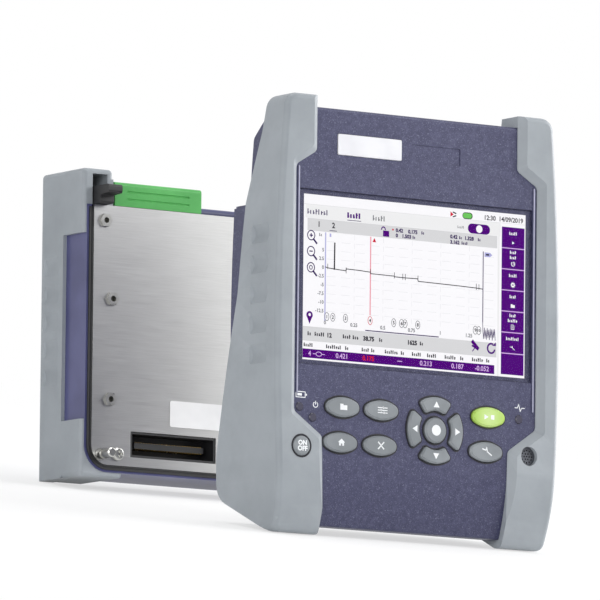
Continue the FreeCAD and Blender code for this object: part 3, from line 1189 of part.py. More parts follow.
def make_module_board():
    """Acquisition board behind the plate."""
    top, thick = BOARD_TOP, BOARD_T
    half, low = MOD_HALF - 10, MOD_FOOT + 6.6
    high, step, port_y = BAY_Y - 4.4, BAY_Y - 13.4, BAY_Y - 17.4
    corners = [(half, high, 2), (half - 8, high, 0), (half - 8, step, 0), (LID_RIGHT - 6, step, 0),
               (LID_RIGHT - 6, port_y, 0), (-half, port_y, 2), (-half, low + 10, 2), (6 - half, low, 2),
               (half - 6, low, 2), (half, low + 10, 2)]
    board = slab_xy(corners, top - thick, top)
    x, y = SOCKET_W / 2 + 2.3, SOCKET_H / 2 + 1.3
    board = board.cut(box(SOCKET_X - x, SOCKET_X + x, SOCKET_Y - y, SOCKET_Y + y, top - 9, top + 9))
    back = top - thick
    left, low, wide, tall, deep = SHIELD
    can = rounded_box(left, left + wide, low, low + tall, back - deep, back, 1.0)
    chips = [box(x - CHIP_HALF, x + CHIP_HALF, y - CHIP_HALF, y + CHIP_HALF, back - CHIP_T, back)
             for x, y in CHIPS]
    return union([board, can] + chips)


def make_laser_block():
    """Optical head: a milled block that carries the laser and the detector cans."""
    back = MOD_BACK + COVER_WALL
    right, middle = OPTIC_X + OPTIC_W, back + OPTIC_T / 2
    block = rounded_box(OPTIC_X, right, OPTIC_Y, OPTIC_Y + OPTIC_H, back, back + OPTIC_T, 1.5)
    laser = crossbar(OPTIC_Y + LASER_UP, middle, OPTIC_CAN_R, right - FIT, right - FIT + LASER_L)
    detector = upright(OPTIC_X + DETECTOR_IN, middle, OPTIC_CAN_R, OPTIC_Y + FIT - DETECTOR_L, OPTIC_Y + FIT)
    return union([block, laser, detector])


def make_fibre_spool():
    """Reel of spare fibre: two cheeks round a wound ring."""
    back = MOD_BACK + COVER_WALL
    x, y = REEL_AT
    reel = post(x, y, REEL_R, back, back + 1.2)
    reel = union([reel, post(x, y, REEL_CORE, back + 1.1, back + 6), post(x, y, REEL_R, back + 6, back + 7)])
    return reel.cut(post(x, y, REEL_CORE - 3, back - 1, back + 9))


def make_fibre_coil():
    """Bare fibre wound on the reel."""
    back = MOD_BACK + COVER_WALL
    x, y = REEL_AT
    coil = post(x, y, REEL_R - 2.5, back + 1.4, back + 5.8)
    return coil.cut(post(x, y, REEL_CORE + 0.1, back, back + 9))


# ---- standing the pair and writing the pieces ---------------------------------------------
def lean_angle():
    """Lean that puts the feet and the module's lower rear edge on one floor, in radians."""
    slope = math.radians(SOLE_ANGLE)
    foot = (FOOT_Y + FOOT_ROUND, TURN_Z + FOOT_ROUND * math.tan(slope / 2))
    edge = (MOD_FOOT + MOD_EDGE, MOD_BACK - UNDOCK + MOD_EDGE)
    dy, dz = foot[0] - edge[0], foot[1] - edge[1]
    reach = math.hypot(dy, dz)
    return math.atan2(dz, dy) - math.acos((FOOT_ROUND - MOD_EDGE) / reach)


def pieces():
    """Every piece by node name: first those of the mainframe, then those of the module."""
    pad = make_module_bumper()
    hook = make_docking_hook()
    main = {
        "front_case": make_front_case(),
        "rear_case": make_rear_case(),
        "bumper_right": make_bumper_right(),
        "bumper_left": make_bumper_left(),
        "display_window": make_display_window(),
        "display_trims": make_display_trims(),
        "lcd_panel": make_lcd_panel(),
        "name_plate": make_name_plate(),
        "status_lenses": make_status_lenses(),
        "status_diodes": make_status_diodes(),
        "key_rings": make_key_rings(),
        "key_board": make_key_board(),
        "key_domes": make_key_domes(),
        "main_board": make_main_board(),
        "board_posts": make_board_posts(),
        "board_screws": make_board_screws(),
        "battery_cells": make_battery_cells(),
        "battery_cradle": make_battery_cradle(),
        "speaker": make_speaker(),
        "sound_grille": make_sound_grille(),
        "docking_plug": make_docking_plug(),
        "dock_nuts": make_dock_nuts(),
        "key_power": make_power_key(),
        "key_enter": make_enter_key(),
    }
    main.update({"key_" + name: make_oval_key(name) for name in OVAL_KEYS})
    main.update({"key_" + name: make_arrow_key(name) for name in ARROWS})
    module = {
        "module_cover": make_module_cover(),
        "module_bumper_right": pad,
        "module_bumper_left": mirrored(pad),
        "mating_plate": make_mating_plate(),
        "standoffs": make_standoffs(),
        "plate_screws": make_plate_screws(),
        "plate_seal": make_plate_seal(),
        "plate_label": make_plate_label(),
        "docking_socket": make_docking_socket(),
        "socket_contacts": make_socket_contacts(),
        "docking_hook_right": hook,
        "docking_hook_left": mirrored(hook),
        "captive_screw_right": make_captive_screw(1),
        "captive_screw_left": make_captive_screw(-1),
        "top_panel": make_top_panel(),
        "port_cover": make_port_cover(),
        "hinge_pin": make_hinge_pin(),
        "optical_port": make_optical_port(),
        "fan_frame": make_fan_frame(),
        "fan_rotor": make_fan_rotor(),
        "module_board": make_module_board(),
        "laser_block": make_laser_block(),
        "fibre_spool": make_fibre_spool(),
        "fibre_coil": make_fibre_coil(),
    }
    return main, module


def standing(shapes):
    """The placement that leans the instrument back and sets it on the floor, centred."""
    turn = Placement(Vector(0, 0, 0), Rotation(Vector(1, 0, 0), 90 - math.degrees(lean_angle())))
    limits = FreeCAD.BoundBox()
    for shape in shapes:
        copy = shape.copy()
        copy.Placement = turn.multiply(copy.Placement)
        limits.add(copy.optimalBoundingBox(True, False))
    shift = Vector(-(limits.XMin + limits.XMax) / 2, -(limits.YMin + limits.YMax) / 2, -limits.ZMin)
    return Placement(shift, Rotation()).multiply(turn)


def main():
    os.makedirs("parts", exist_ok=True)
    fixed, module = pieces()
    back = Placement(Vector(0, 0, -UNDOCK), Rotation())
    for shape in module.values():
        shape.Placement = back.multiply(shape.Placement)
    stand = standing(list(fixed.values()) + list(module.values()))
    for name, shape in list(fixed.items()) + list(module.items()):
        shape.Placement = stand.multiply(shape.Placement)
        shape.exportStep("parts/" + name + ".step")
    print("lean", round(math.degrees(lean_angle()), 6), "shift", stand.Base)


if __name__ == "__main__":
    main()
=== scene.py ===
"""Materials, screen picture, key legends, light and camera for the optical reflectometer."""
import bpy
import bmesh
import json
import math
from mathutils import Matrix, Vector


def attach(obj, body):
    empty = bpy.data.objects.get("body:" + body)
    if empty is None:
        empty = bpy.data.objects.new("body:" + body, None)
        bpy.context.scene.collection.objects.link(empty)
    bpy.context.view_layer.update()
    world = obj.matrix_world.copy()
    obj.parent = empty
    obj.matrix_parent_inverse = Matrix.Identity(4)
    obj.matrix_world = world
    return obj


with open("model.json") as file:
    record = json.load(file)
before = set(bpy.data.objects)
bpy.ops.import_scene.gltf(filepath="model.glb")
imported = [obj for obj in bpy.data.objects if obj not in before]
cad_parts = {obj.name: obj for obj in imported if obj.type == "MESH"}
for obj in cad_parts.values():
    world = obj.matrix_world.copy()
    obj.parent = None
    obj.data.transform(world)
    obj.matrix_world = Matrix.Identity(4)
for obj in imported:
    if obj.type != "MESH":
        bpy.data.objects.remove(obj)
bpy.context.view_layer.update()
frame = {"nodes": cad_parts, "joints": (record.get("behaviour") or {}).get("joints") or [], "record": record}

MM = 0.001


# ---- the instrument's own axes, read from the frame ---------------------------------------
def joint(name):
    return next(j for j in frame["joints"] if j["name"] == name)


FRONT = Vector(joint("module_dock")["axis"]).normalized()      # out of the display
RIGHT = Vector((1, 0, 0))
UP = FRONT.cross(RIGHT).normalized()


def corners_along(node, way):
    """Lowest and highest reach of a CAD node's points along a direction, in metres."""
    mesh = frame["nodes"][node].data
    reach = [v.co.dot(way) for v in mesh.vertices]
    return min(reach), max(reach)


def middle_of(node):
    """The middle of a CAD node's front face, as a point of the frame."""
    x = sum(corners_along(node, RIGHT)) / 2
    y = sum(corners_along(node, UP)) / 2
    z = corners_along(node, FRONT)[1]
    return RIGHT * x + UP * y + FRONT * z


def at(origin, x=0.0, y=0.0, z=0.0):
    """A point x right, y up and z forward of an origin, in millimetres."""
    return origin + (RIGHT * x + UP * y + FRONT * z) * MM


WINDOW = middle_of("display_window")
PANEL = WINDOW + FRONT * (corners_along("front_case", FRONT)[1] - WINDOW.dot(FRONT))


# ---- node materials ------------------------------------------------------------------------
class Nodes:
    """One material and short ways to build its node tree."""

    def __init__(self, name):
        self.material = bpy.data.materials.new(name)
        self.material.use_nodes = True
        self.tree = self.material.node_tree
        self.shader = self.tree.nodes["Principled BSDF"]

    def add(self, kind, **values):
        """A node with its inputs or settings given by name."""
        node = self.tree.nodes.new(kind)
        for key, value in values.items():
            if key in node.inputs:
                node.inputs[key].default_value = value
            else:
                setattr(node, key, value)
        return node

    def link(self, source, target):
        self.tree.links.new(source, target)

    def place(self, stretch=(1, 1, 1)):
        """Object coordinates, stretched."""
        coords = self.add("ShaderNodeTexCoord")
        mapping = self.add("ShaderNodeMapping")
        mapping.inputs["Scale"].default_value = stretch
        self.link(coords.outputs["Object"], mapping.inputs["Vector"])
        return mapping.outputs["Vector"]

    def noise(self, scale, detail, rough=0.5, stretch=(1, 1, 1)):
        """Noise fixed to the object, from 0 to 1."""
        node = self.add("ShaderNodeTexNoise", Scale=scale, Detail=detail, Roughness=rough)
        self.link(self.place(stretch), node.inputs["Vector"])
        return node.outputs["Fac"]

    def ramp(self, source, stops):
        """Colours by place along a value from 0 to 1."""
        node = self.add("ShaderNodeValToRGB")
        while len(node.color_ramp.elements) < len(stops):
            node.color_ramp.elements.new(0.5)
        for element, (place, colour) in zip(node.color_ramp.elements, stops):
            element.position = place
            element.color = (*colour, 1)
        self.link(source, node.inputs["Fac"])
        return node.outputs["Color"]

    def range(self, source, low, high):
        """A value from 0 to 1, spread from low to high."""
        node = self.add("ShaderNodeMapRange")
        node.inputs["To Min"].default_value = low
        node.inputs["To Max"].default_value = high
        self.link(source, node.inputs["Value"])
        return node.outputs["Result"]

    def mix(self, factor, first, second):
        """Two colours, or outputs that give them, mixed by a factor."""
        node = self.add("ShaderNodeMix", data_type="RGBA")
        self.link(factor, node.inputs["Factor"])
        self.feed(first, node.inputs[6])
        self.feed(second, node.inputs[7])
        return node.outputs[2]

    def feed(self, value, socket):
        """Give a socket a plain colour or another node's output."""
        if isinstance(value, tuple):
            socket.default_value = (*value, 1)
        else:
            self.link(value, socket)

    def bump(self, source, strength, distance):
        """Fine relief, its depth in metres."""
        node = self.add("ShaderNodeBump", Strength=strength, Distance=distance)
        self.link(source, node.inputs["Height"])
        self.link(node.outputs["Normal"], self.shader.inputs["Normal"])

    def finish(self, colour, rough, **plain):
        """Set the shader's colour, its roughness and any uniform values."""
        self.feed(colour, self.shader.inputs["Base Color"])
        if isinstance(rough, float):
            self.shader.inputs["Roughness"].default_value = rough
        else:
            self.link(rough, self.shader.inputs["Roughness"])
        for key, value in plain.items():
            self.shader.inputs[key.replace("_", " ")].default_value = value
        return self.material


def linear(value):
    """One channel, from 0 to 255 as displayed, to a linear value."""
    return ((value / 255 + 0.055) / 1.055) ** 2.4 if value > 10 else value / 255 / 12.92


def srgb(r, g, b):
    """A colour given as it is displayed, in linear values."""
    return linear(r), linear(g), linear(b)


def shade(tone, share):
    """A darker version of a colour."""
    return tuple(c * share for c in tone)


def moulded(name, dark, light, rough=(0.4, 0.55), grain=1400.0, bump=0.15, specular=0.5):
    """Moulded plastic or rubber: slight clouds in the colour and a fine moulded grain."""
    n = Nodes(name)
    clouds = n.noise(55.0, 3.0)
    fine = n.noise(grain, 2.0, 0.6)
    n.bump(fine, bump, 0.00008)
    colour = n.ramp(clouds, [(0.35, dark), (0.65, light)])
    return n.finish(colour, n.range(fine, *rough), Specular_IOR_Level=specular)


def grip_rubber():
    """Cool grey rubber: matt, with a fine grain, soft clouds and edges a little paler, partly from wear and
    partly as a painted highlight.
    """
    n = Nodes("bumper_rubber")
    clouds = n.noise(38.0, 4.0, 0.6)
    grain = n.noise(2400.0, 2.0, 0.7)
    wear = n.noise(160.0, 5.0, 0.7)
    # Convex edges are painted paler in random patches: partly rubbed wear, partly a painted highlight where
    # the edges catch the light.
    edge = n.add("ShaderNodeNewGeometry").outputs["Pointiness"]
    worn_and_highlit_edges = n.ramp(edge, [(0.51, (0, 0, 0)), (0.60, (1, 1, 1))])
    share = n.add("ShaderNodeMath", operation="MULTIPLY")
    n.link(worn_and_highlit_edges, share.inputs[0])
    n.link(n.range(wear, 0.0, 0.55), share.inputs[1])
    ground = n.ramp(clouds, [(0.3, srgb(142, 148, 153)), (0.7, srgb(156, 162, 167))])
    colour = n.mix(share.outputs["Value"], ground, srgb(178, 183, 188))
    n.bump(grain, 0.25, 0.00006)
    return n.finish(colour, n.range(grain, 0.42, 0.58), Specular_IOR_Level=0.4)


def mottled_case():
    """Violet-grey paint: pale metallic flecks scattered over a darker, cloudy ground."""
    n = Nodes("case_mottled")
    drift = n.noise(420.0, 6.0, 0.75)
    broad = n.noise(30.0, 3.0, 0.6)
    fleck = n.noise(1900.0, 3.0, 0.8)
    tones = [(0.34, srgb(53, 53, 82)), (0.5, srgb(62, 63, 92)), (0.66, srgb(77, 78, 107))]
    ground = n.ramp(drift, tones)
    clouds = n.mix(n.range(broad, 0.0, 0.35), ground, srgb(58, 60, 88))
    sparkle = n.ramp(fleck, [(0.57, (0, 0, 0)), (0.66, (1, 1, 1))])
    colour = n.mix(sparkle, clouds, srgb(114, 116, 140))
    n.bump(drift, 0.12, 0.00006)
    return n.finish(colour, n.range(drift, 0.32, 0.46), Metallic=0.2, Specular_IOR_Level=0.5)


def brushed(name, tone, rough=(0.24, 0.4), along=(0.15, 8, 8)):
    """Brushed metal: fine lines that run along the axis with the least stretch."""
    n = Nodes(name)
    lines = n.noise(500.0, 6.0, 0.7, along)
    clouds = n.noise(18.0, 3.0)
    streaks = n.ramp(lines, [(0.35, shade(tone, 0.84)), (0.65, tone)])
    colour = n.mix(n.range(clouds, 0.0, 0.6), streaks, shade(tone, 0.86))
    n.bump(lines, 0.25, 0.00002)
    return n.finish(colour, n.range(lines, *rough), Metallic=1.0)


def polished(name, tone, rough):
    """Smooth metal with slight wear in its colour and gloss."""
    n = Nodes(name)
    wear = n.noise(420.0, 4.0, 0.6)
    colour = n.mix(wear, shade(tone, 0.88), tone)
    return n.finish(colour, n.range(wear, rough * 0.8, rough * 1.5), Metallic=1.0)


SCREEN_GLOW = 0.87               # light that a lit patch gives of its own
SCREEN_BASE = 0.14               # share of its colour that it shows in the room's light


def lit(name, tone):
    """A lit patch of the display, with a faint grain of its cells."""
    n = Nodes(name)
    cells = n.noise(2600.0, 1.0)
    colour = n.mix(cells, shade(tone, SCREEN_BASE * 0.96), shade(tone, SCREEN_BASE))
    n.shader.inputs["Emission Color"].default_value = (*tone, 1)
    return n.finish(colour, 0.5, Emission_Strength=SCREEN_GLOW, Specular_IOR_Level=0.03)


HIGHLIGHT_REACH = 8.5                 # the painted highlight and painted glow on the start key fade out this far from its middle, in millimetres


def start_key_painted_highlight():
    """Lime rubber with a painted highlight, paler in the middle of its key and deeper towards the rim, and a
    faint painted glow.
    """
    n = Nodes("start_rubber")
    clouds = n.noise(120.0, 3.0)
    fine = n.noise(2600.0, 2.0)
    coords = n.add("ShaderNodeTexCoord")
    mapping = n.add("ShaderNodeMapping")
    mapping.inputs["Location"].default_value = -middle_of("key_start") / (HIGHLIGHT_REACH * MM)
    mapping.inputs["Scale"].default_value = (1 / (HIGHLIGHT_REACH * MM),) * 3
    n.link(coords.outputs["Object"], mapping.inputs["Vector"])
    # Painted highlight: a sphere round the key's middle pales the lime towards srgb(192, 214, 144).
    painted_highlight = n.add("ShaderNodeTexGradient", gradient_type="SPHERICAL")
    n.link(mapping.outputs["Vector"], painted_highlight.inputs["Vector"])
    ground = n.ramp(clouds, [(0.35, srgb(152, 190, 66)), (0.65, srgb(170, 204, 84))])
    colour = n.mix(painted_highlight.outputs["Fac"], ground, srgb(192, 214, 144))
    n.bump(fine, 0.1, 0.00005)
    # Painted glow: the key gives off a little light of its own, brightest in its painted highlight.
    n.link(colour, n.shader.inputs["Emission Color"])
    return n.finish(colour, n.range(fine, 0.35, 0.5), Emission_Strength=0.12)


def clear_window():
    """Display window: clear, with only its gloss showing."""
    n = Nodes("window_clear")
    rough = n.range(n.noise(40.0, 3.0), 0.03, 0.09)
    clear = n.add("ShaderNodeBsdfTransparent")
    gloss = n.add("ShaderNodeBsdfGlossy")
    n.link(rough, gloss.inputs["Roughness"])
    fresnel = n.add("ShaderNodeFresnel", IOR=1.12)
    mix = n.add("ShaderNodeMixShader")
    n.link(fresnel.outputs["Fac"], mix.inputs["Fac"])
    n.link(clear.outputs["BSDF"], mix.inputs[1])
    n.link(gloss.outputs["BSDF"], mix.inputs[2])
    n.link(mix.outputs["Shader"], n.tree.nodes["Material Output"].inputs["Surface"])
    return n.finish((0.9, 0.93, 0.96), rough, IOR=1.45)


MATERIALS = {
    "body_plastic": mottled_case(),
    "bumper_rubber": grip_rubber(),
    "key_rubber": moulded("key_rubber", srgb(122, 127, 131), srgb(138, 143, 147),
                          (0.35, 0.5), 2600.0, 0.1),
    "start_rubber": start_key_painted_highlight(),
    "ring_plastic": moulded("ring_plastic", srgb(12, 11, 22), srgb(20, 18, 32), (0.35, 0.5)),
    "window_clear": clear_window(),
    "screen": lit("screen_panel", srgb(238, 234, 242)),
    "bright_plate": brushed("bright_plate", srgb(206, 206, 205)),
    "white_plate": moulded("white_plate", srgb(228, 228, 232), srgb(238, 238, 241),
                           (0.25, 0.35), 900.0, 0.03),
    "trim_bright": polished("trim_bright", srgb(160, 161, 182), 0.3),
    "lens": moulded("lens", srgb(52, 50, 66), srgb(66, 64, 82), (0.08, 0.16), 900.0, 0.02),
    "diode": moulded("diode", srgb(220, 215, 170), srgb(235, 230, 190), (0.2, 0.3)),
    "board_green": moulded("board_green", srgb(16, 88, 46), srgb(24, 104, 56), (0.25, 0.4)),
    "dome_steel": polished("dome_steel", srgb(200, 200, 198), 0.25),
    "brass": brushed("brass", srgb(208, 176, 104), (0.22, 0.35), (1, 1, 1)),
    "screw_steel": polished("screw_steel", srgb(196, 196, 192), 0.26),
    "cell_wrap": moulded("cell_wrap", srgb(38, 70, 140), srgb(48, 84, 158), (0.2, 0.3)),
    "black_plastic": moulded("black_plastic", srgb(24, 24, 26), srgb(36, 36, 38),
                             (0.38, 0.55), 1800.0, 0.18),
    "black_rubber": moulded("black_rubber", srgb(20, 20, 22), srgb(32, 32, 34), (0.55, 0.7)),
    "gilt": polished("gilt", srgb(226, 190, 110), 0.22),
    "label_white": moulded("label_white", srgb(228, 228, 228), srgb(240, 240, 240),
                           (0.45, 0.6), 900.0, 0.03),
    "cover_green": moulded("cover_green", srgb(66, 158, 72), srgb(84, 176, 88),
                           (0.3, 0.42), 1600.0, 0.08),
    "grille_steel": polished("grille_steel", srgb(96, 98, 104), 0.4),
    "optic_blue": moulded("optic_blue", srgb(30, 84, 168), srgb(40, 98, 184), (0.25, 0.35)),
    "alloy_block": brushed("alloy_block", srgb(190, 192, 196), (0.3, 0.45), (1, 40, 1)),
    "fibre_yellow": moulded("fibre_yellow", srgb(214, 190, 80), srgb(232, 208, 96), (0.25, 0.4)),
    "case_violet": moulded("case_violet", srgb(70, 72, 112), srgb(82, 84, 126),
                           (0.3, 0.42), 1700.0, 0.08),
    "mark_white": moulded("mark_white", srgb(232, 234, 236), srgb(244, 246, 248),
                          (0.4, 0.55), 1600.0, 0.05),
}
SLOT_OF = {part["node"]: part["material_slot"] for part in frame["record"]["subparts"]}


def dress(obj, material):
    """Give an object one material."""
    obj.data.materials.clear()
    obj.data.materials.append(material)


FINISH_OF = dict(SLOT_OF, module_cover="case_violet")      # the module's cover is plain, not flecked
for node_name, node_object in frame["nodes"].items():
    if node_object.material_slots:
        for slot in node_object.material_slots:
            slot.material = MATERIALS[FINISH_OF[node_name]]
    else:
        dress(node_object, MATERIALS[FINISH_OF[node_name]])


# ---- thin printed shapes -------------------------------------------------------------------
INK = 0.01                       # thickness of a printed shape, in millimetres
ROUND_STEPS = 28                 # corners that stand for a full circle
CAP_SHARE = 0.66                 # height of a capital as a share of the font size
TEXT_WEIGHT = 0.035              # characters grow by this share of their height
WORD_WEIGHT = 1.6                # made-up words are drawn this much heavier
LETTER_PITCH = 0.62              # spacing of a made-up word's letters, as a share of their height
LETTER_LOW = 0.72                # height of its low letters against its tall ones


class Ink:
    """Thin flat shapes of one colour on one face, gathered into one piece."""

    def __init__(self, name, body, material, origin, level=INK):
        self.name, self.body, self.material = name, body, material
        self.origin, self.level = origin, level
        self.mesh = bmesh.new()

    def plate(self, points):
        """A filled outline through (x, y) points."""
        top = [self.mesh.verts.new(at(self.origin, x, y, self.level)) for x, y in points]
        low = [self.mesh.verts.new(at(self.origin, x, y, self.level - INK)) for x, y in points]
        self.mesh.faces.new(top)
        self.mesh.faces.new(low[::-1])
        for i in range(len(points)):
            j = (i + 1) % len(points)
            self.mesh.faces.new((top[i], low[i], low[j], top[j]))

    def band(self, x0, x1, y0, y1):
        """A plain rectangle."""
        self.plate([(x0, y0), (x1, y0), (x1, y1), (x0, y1)])

    def disc(self, x, y, wide):
        """A round spot."""
        turns = [2 * math.pi * k / ROUND_STEPS for k in range(ROUND_STEPS)]
        self.plate([(x + wide / 2 * math.cos(t), y + wide / 2 * math.sin(t)) for t in turns])

    def capsule(self, x, y, wide, high):
        """A bar with round ends."""
        half, r = (wide - high) / 2, high / 2
        turns = [math.pi * k / (ROUND_STEPS / 2) for k in range(ROUND_STEPS // 2 + 1)]
        right = [(x + half + r * math.sin(t), y - r * math.cos(t)) for t in turns]
        left = [(x - half - r * math.sin(t), y + r * math.cos(t)) for t in turns]
        self.plate(right + left)

    def arc(self, x, y, wide, high, line, start=0.0, stop=360.0):
        """A ring, or the part of one between two angles, drawn as joined plates."""
        steps = max(4, int(ROUND_STEPS * (stop - start) / 360))
        turns = [math.radians(start + (stop - start) * k / steps) for k in range(steps + 1)]
        half_w, half_h = wide / 2, high / 2
        outer = [(x + half_w * math.cos(t), y + half_h * math.sin(t)) for t in turns]
        inner = [(x + (half_w - line) * math.cos(t), y + (half_h - line) * math.sin(t)) for t in turns]
        for k in range(steps):
            self.plate([inner[k], outer[k], outer[k + 1], inner[k + 1]])

    def stroke(self, points, line):
        """A line of even width along (x, y) points."""
        for (xa, ya), (xb, yb) in zip(points, points[1:]):
            length = math.hypot(xb - xa, yb - ya)
            ux, uy = (xb - xa) / length * line / 2, (yb - ya) / length * line / 2
            self.plate([(xa - ux + uy, ya - uy - ux), (xb + ux + uy, yb + uy - ux),
                        (xb + ux - uy, yb + uy + ux), (xa - ux - uy, ya - uy + ux)])

    def word(self, x, y, letters, high, line):
        """A made-up word of small strokes, which stands where a product has its wording."""
        line *= WORD_WEIGHT
        pitch, foot, half = high * LETTER_PITCH, y - high / 2, line * 0.4
        for k in range(letters):
            left = x + k * pitch
            tall = high if k % 4 in (0, 3) else high * LETTER_LOW
            self.band(left, left + line, foot, foot + tall)
            if k % 3 != 1:
                middle = foot + tall * (0.62 if k % 2 else 0.3)
                self.band(left + line, left + pitch * 0.72, middle - half, middle + half)

    def write(self, text, x, y, high, align="LEFT", heavy=0.0):
        """Plain characters, their middle height at y."""
        curve = bpy.data.curves.new("text", "FONT")
        curve.body = text
        curve.size = high / CAP_SHARE
        curve.align_x = align
        curve.offset = heavy + high * TEXT_WEIGHT
        curve.extrude = INK / 2
        curve.resolution_u = 3
        shape = bpy.data.objects.new("text", curve)
        bpy.context.scene.collection.objects.link(shape)
        bpy.context.view_layer.update()
        ready = shape.evaluated_get(bpy.context.evaluated_depsgraph_get())
        flat = bpy.data.meshes.new_from_object(ready)
        for vertex in flat.vertices:
            px, py, pz = vertex.co
            vertex.co = at(self.origin, x + px, y - high / 2 + py, self.level - INK / 2 + pz)
        self.mesh.from_mesh(flat)
        bpy.data.objects.remove(shape)
        bpy.data.curves.remove(curve)
        bpy.data.meshes.remove(flat)

    def finish(self, slot):
        """Turn what was drawn into one piece. The slot it is given is not used."""
        bmesh.ops.recalc_face_normals(self.mesh, faces=self.mesh.faces)
        data = bpy.data.meshes.new(self.name)
        self.mesh.to_mesh(data)
        self.mesh.free()
        piece = bpy.data.objects.new(self.name, data)
        bpy.context.scene.collection.objects.link(piece)
        dress(piece, self.material)
        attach(piece, self.body)


# ---- screen picture ------------------------------------------------------------------------
# Places on the picture are in millimetres right of and above the window's middle.
PICTURE_LEVEL = -0.97            # inside the window's glass, behind the front panel
LAYER = 0.012                    # one printed layer above another
SCREEN_HALF_W, SCREEN_TOP, SCREEN_LOW = 54.1, 33.1, -33.3
VIEW_HALF_H, BORDER_W = 32.4, 2.4
STATUS_LOW, TABS_LOW, VALUES_LOW = 29.0, 23.6, 18.5
PLOT_LOW, SUMMARY_LOW, HEADER_LOW, ROW_LOW = -20.0, -25.8, -29.0, -32.6
SOFT_LEFT, SOFT_RIGHT, SOFT_TOP, SOFT_LOW, SOFT_COUNT = 42.4, 53.6, 27.6, -32.3, 7
PICTURE_RIGHT = 40.2             # right end of the grey bars
AXIS_X, AXIS_TOP, AXIS_LOW = -43.5, 18.3, -17.3
GRID_X, GRID_Y = 14.0, 3.5       # pitch of the plot's grid
ZERO_Y = 4.2                     # height of the plot's zero line
CURSOR_X, END_X = -21.7, 33.3    # the chosen event and the fibre's end
EVENT_Y = -15.5
TOOL_X = -50.5                   # middle of the zoom tools
LEVEL_STEP, DISTANCE_STEP = 2.5, 0.25    # what one pitch of the grid stands for
TINTS = {
    "white": srgb(252, 251, 254), "mist": srgb(240, 240, 241), "grey": srgb(217, 217, 219),
    "violet": srgb(80, 4, 122), "ink": srgb(46, 8, 88), "text": srgb(34, 30, 44),
    "soft": srgb(104, 106, 112), "grid": srgb(226, 226, 230), "lilac": srgb(176, 176, 222),
    "rose": srgb(236, 150, 166), "red": srgb(206, 30, 60), "leaf": srgb(112, 200, 96),
    "pale": srgb(214, 176, 232), "bright": srgb(252, 251, 254),
}
LAYERS = ("white", "mist", "grey", "grid", "lilac", "rose", "violet",
          "soft", "ink", "text", "red", "leaf", "pale", "bright")      # from the back to the front


def screen_inks():
    """One ink for each colour of the picture, each on its own layer."""
    inks = {}
    for layer, tint in enumerate(LAYERS):
        name, level = "screen_" + tint, PICTURE_LEVEL + layer * LAYER
        inks[tint] = Ink(name, "mainframe", lit(name, TINTS[tint]), PANEL, level)
    return inks


def draw_border():
    """Printed border inside the window, in the colour of the case."""
    edge = Ink("screen_border", "mainframe", MATERIALS["body_plastic"], PANEL, PICTURE_LEVEL)
    wide, high = SCREEN_HALF_W + BORDER_W, VIEW_HALF_H + BORDER_W
    edge.band(-wide, wide, SCREEN_TOP, high)
    edge.band(-wide, wide, -high, SCREEN_LOW)
    edge.band(-wide, -SCREEN_HALF_W, SCREEN_LOW, SCREEN_TOP)
    edge.band(SCREEN_HALF_W, wide, SCREEN_LOW, SCREEN_TOP)
    edge.finish("body_plastic")


def draw_bars(ink):
    """Backgrounds: status line, tab bar, value bar, summary bar and the chosen row."""
    ink["white"].band(-SCREEN_HALF_W, SCREEN_HALF_W, SCREEN_LOW, SCREEN_TOP)
    ink["mist"].band(-SCREEN_HALF_W + 0.8, PICTURE_RIGHT + 1.6, TABS_LOW, STATUS_LOW)
    ink["grey"].band(-SCREEN_HALF_W + 1.8, PICTURE_RIGHT, VALUES_LOW, TABS_LOW - 0.1)
    ink["grey"].band(-SCREEN_HALF_W, PICTURE_RIGHT, SUMMARY_LOW, PLOT_LOW)
    ink["grey"].band(-SCREEN_HALF_W, SCREEN_HALF_W, STATUS_LOW, STATUS_LOW + 0.12)
    ink["mist"].band(PICTURE_RIGHT + 0.3, PICTURE_RIGHT + 1.2, SCREEN_LOW, TABS_LOW)
    ink["violet"].band(-SCREEN_HALF_W, PICTURE_RIGHT - 1.0, ROW_LOW, HEADER_LOW)


def draw_status(ink):
    """Battery, plug and clock in the status line."""
    y = (SCREEN_TOP + STATUS_LOW) / 2 - 0.5
    plug, battery, clock = 17.0, 25.4, 33.4
    ink["text"].capsule(battery, y, 5.0, 2.7)
    ink["leaf"].capsule(battery - 0.1, y, 4.4, 2.1)
    ink["red"].plate([(plug, y - 1.0), (plug + 1.6, y), (plug, y + 1.1)])
    for side in (-1, 1):
        ink["text"].stroke([(plug + 1.4, y + 0.9 * side), (plug + 2.6, y + 0.5 * side)], 0.5)
    ink["text"].write("12:30  14/09/2019", clock, y, 1.75)


def draw_tabs(ink):
    """Three tabs, the middle one chosen, then the two trace numbers and the switch."""
    chosen, trace_1, trace_2 = -33.2, -46.8, -39.8
    ink["ink"].word(-52.4, 26.2, 8, 2.1, 0.28)
    ink["violet"].word(chosen, 26.1, 5, 2.2, 0.5)
    ink["soft"].word(-20.8, 26.0, 5, 2.1, 0.28)
    ink["ink"].band(chosen, chosen + 6.7, 23.95, 24.2)
    ink["text"].write("1", trace_1, 21.3, 2.0, "CENTER")
    ink["text"].write("2", trace_2, 21.3, 2.0, "CENTER")
    ink["ink"].band(trace_2 - 1.9, trace_2 + 1.6, 19.05, 19.3)
    switch_x, switch_y = 31.1, 25.6
    ink["soft"].word(switch_x - 10.5, switch_y + 0.1, 5, 1.1, 0.14)
    ink["violet"].capsule(switch_x, switch_y, 10.9, 4.0)
    ink["bright"].disc(switch_x + 0.1, switch_y, 3.1)


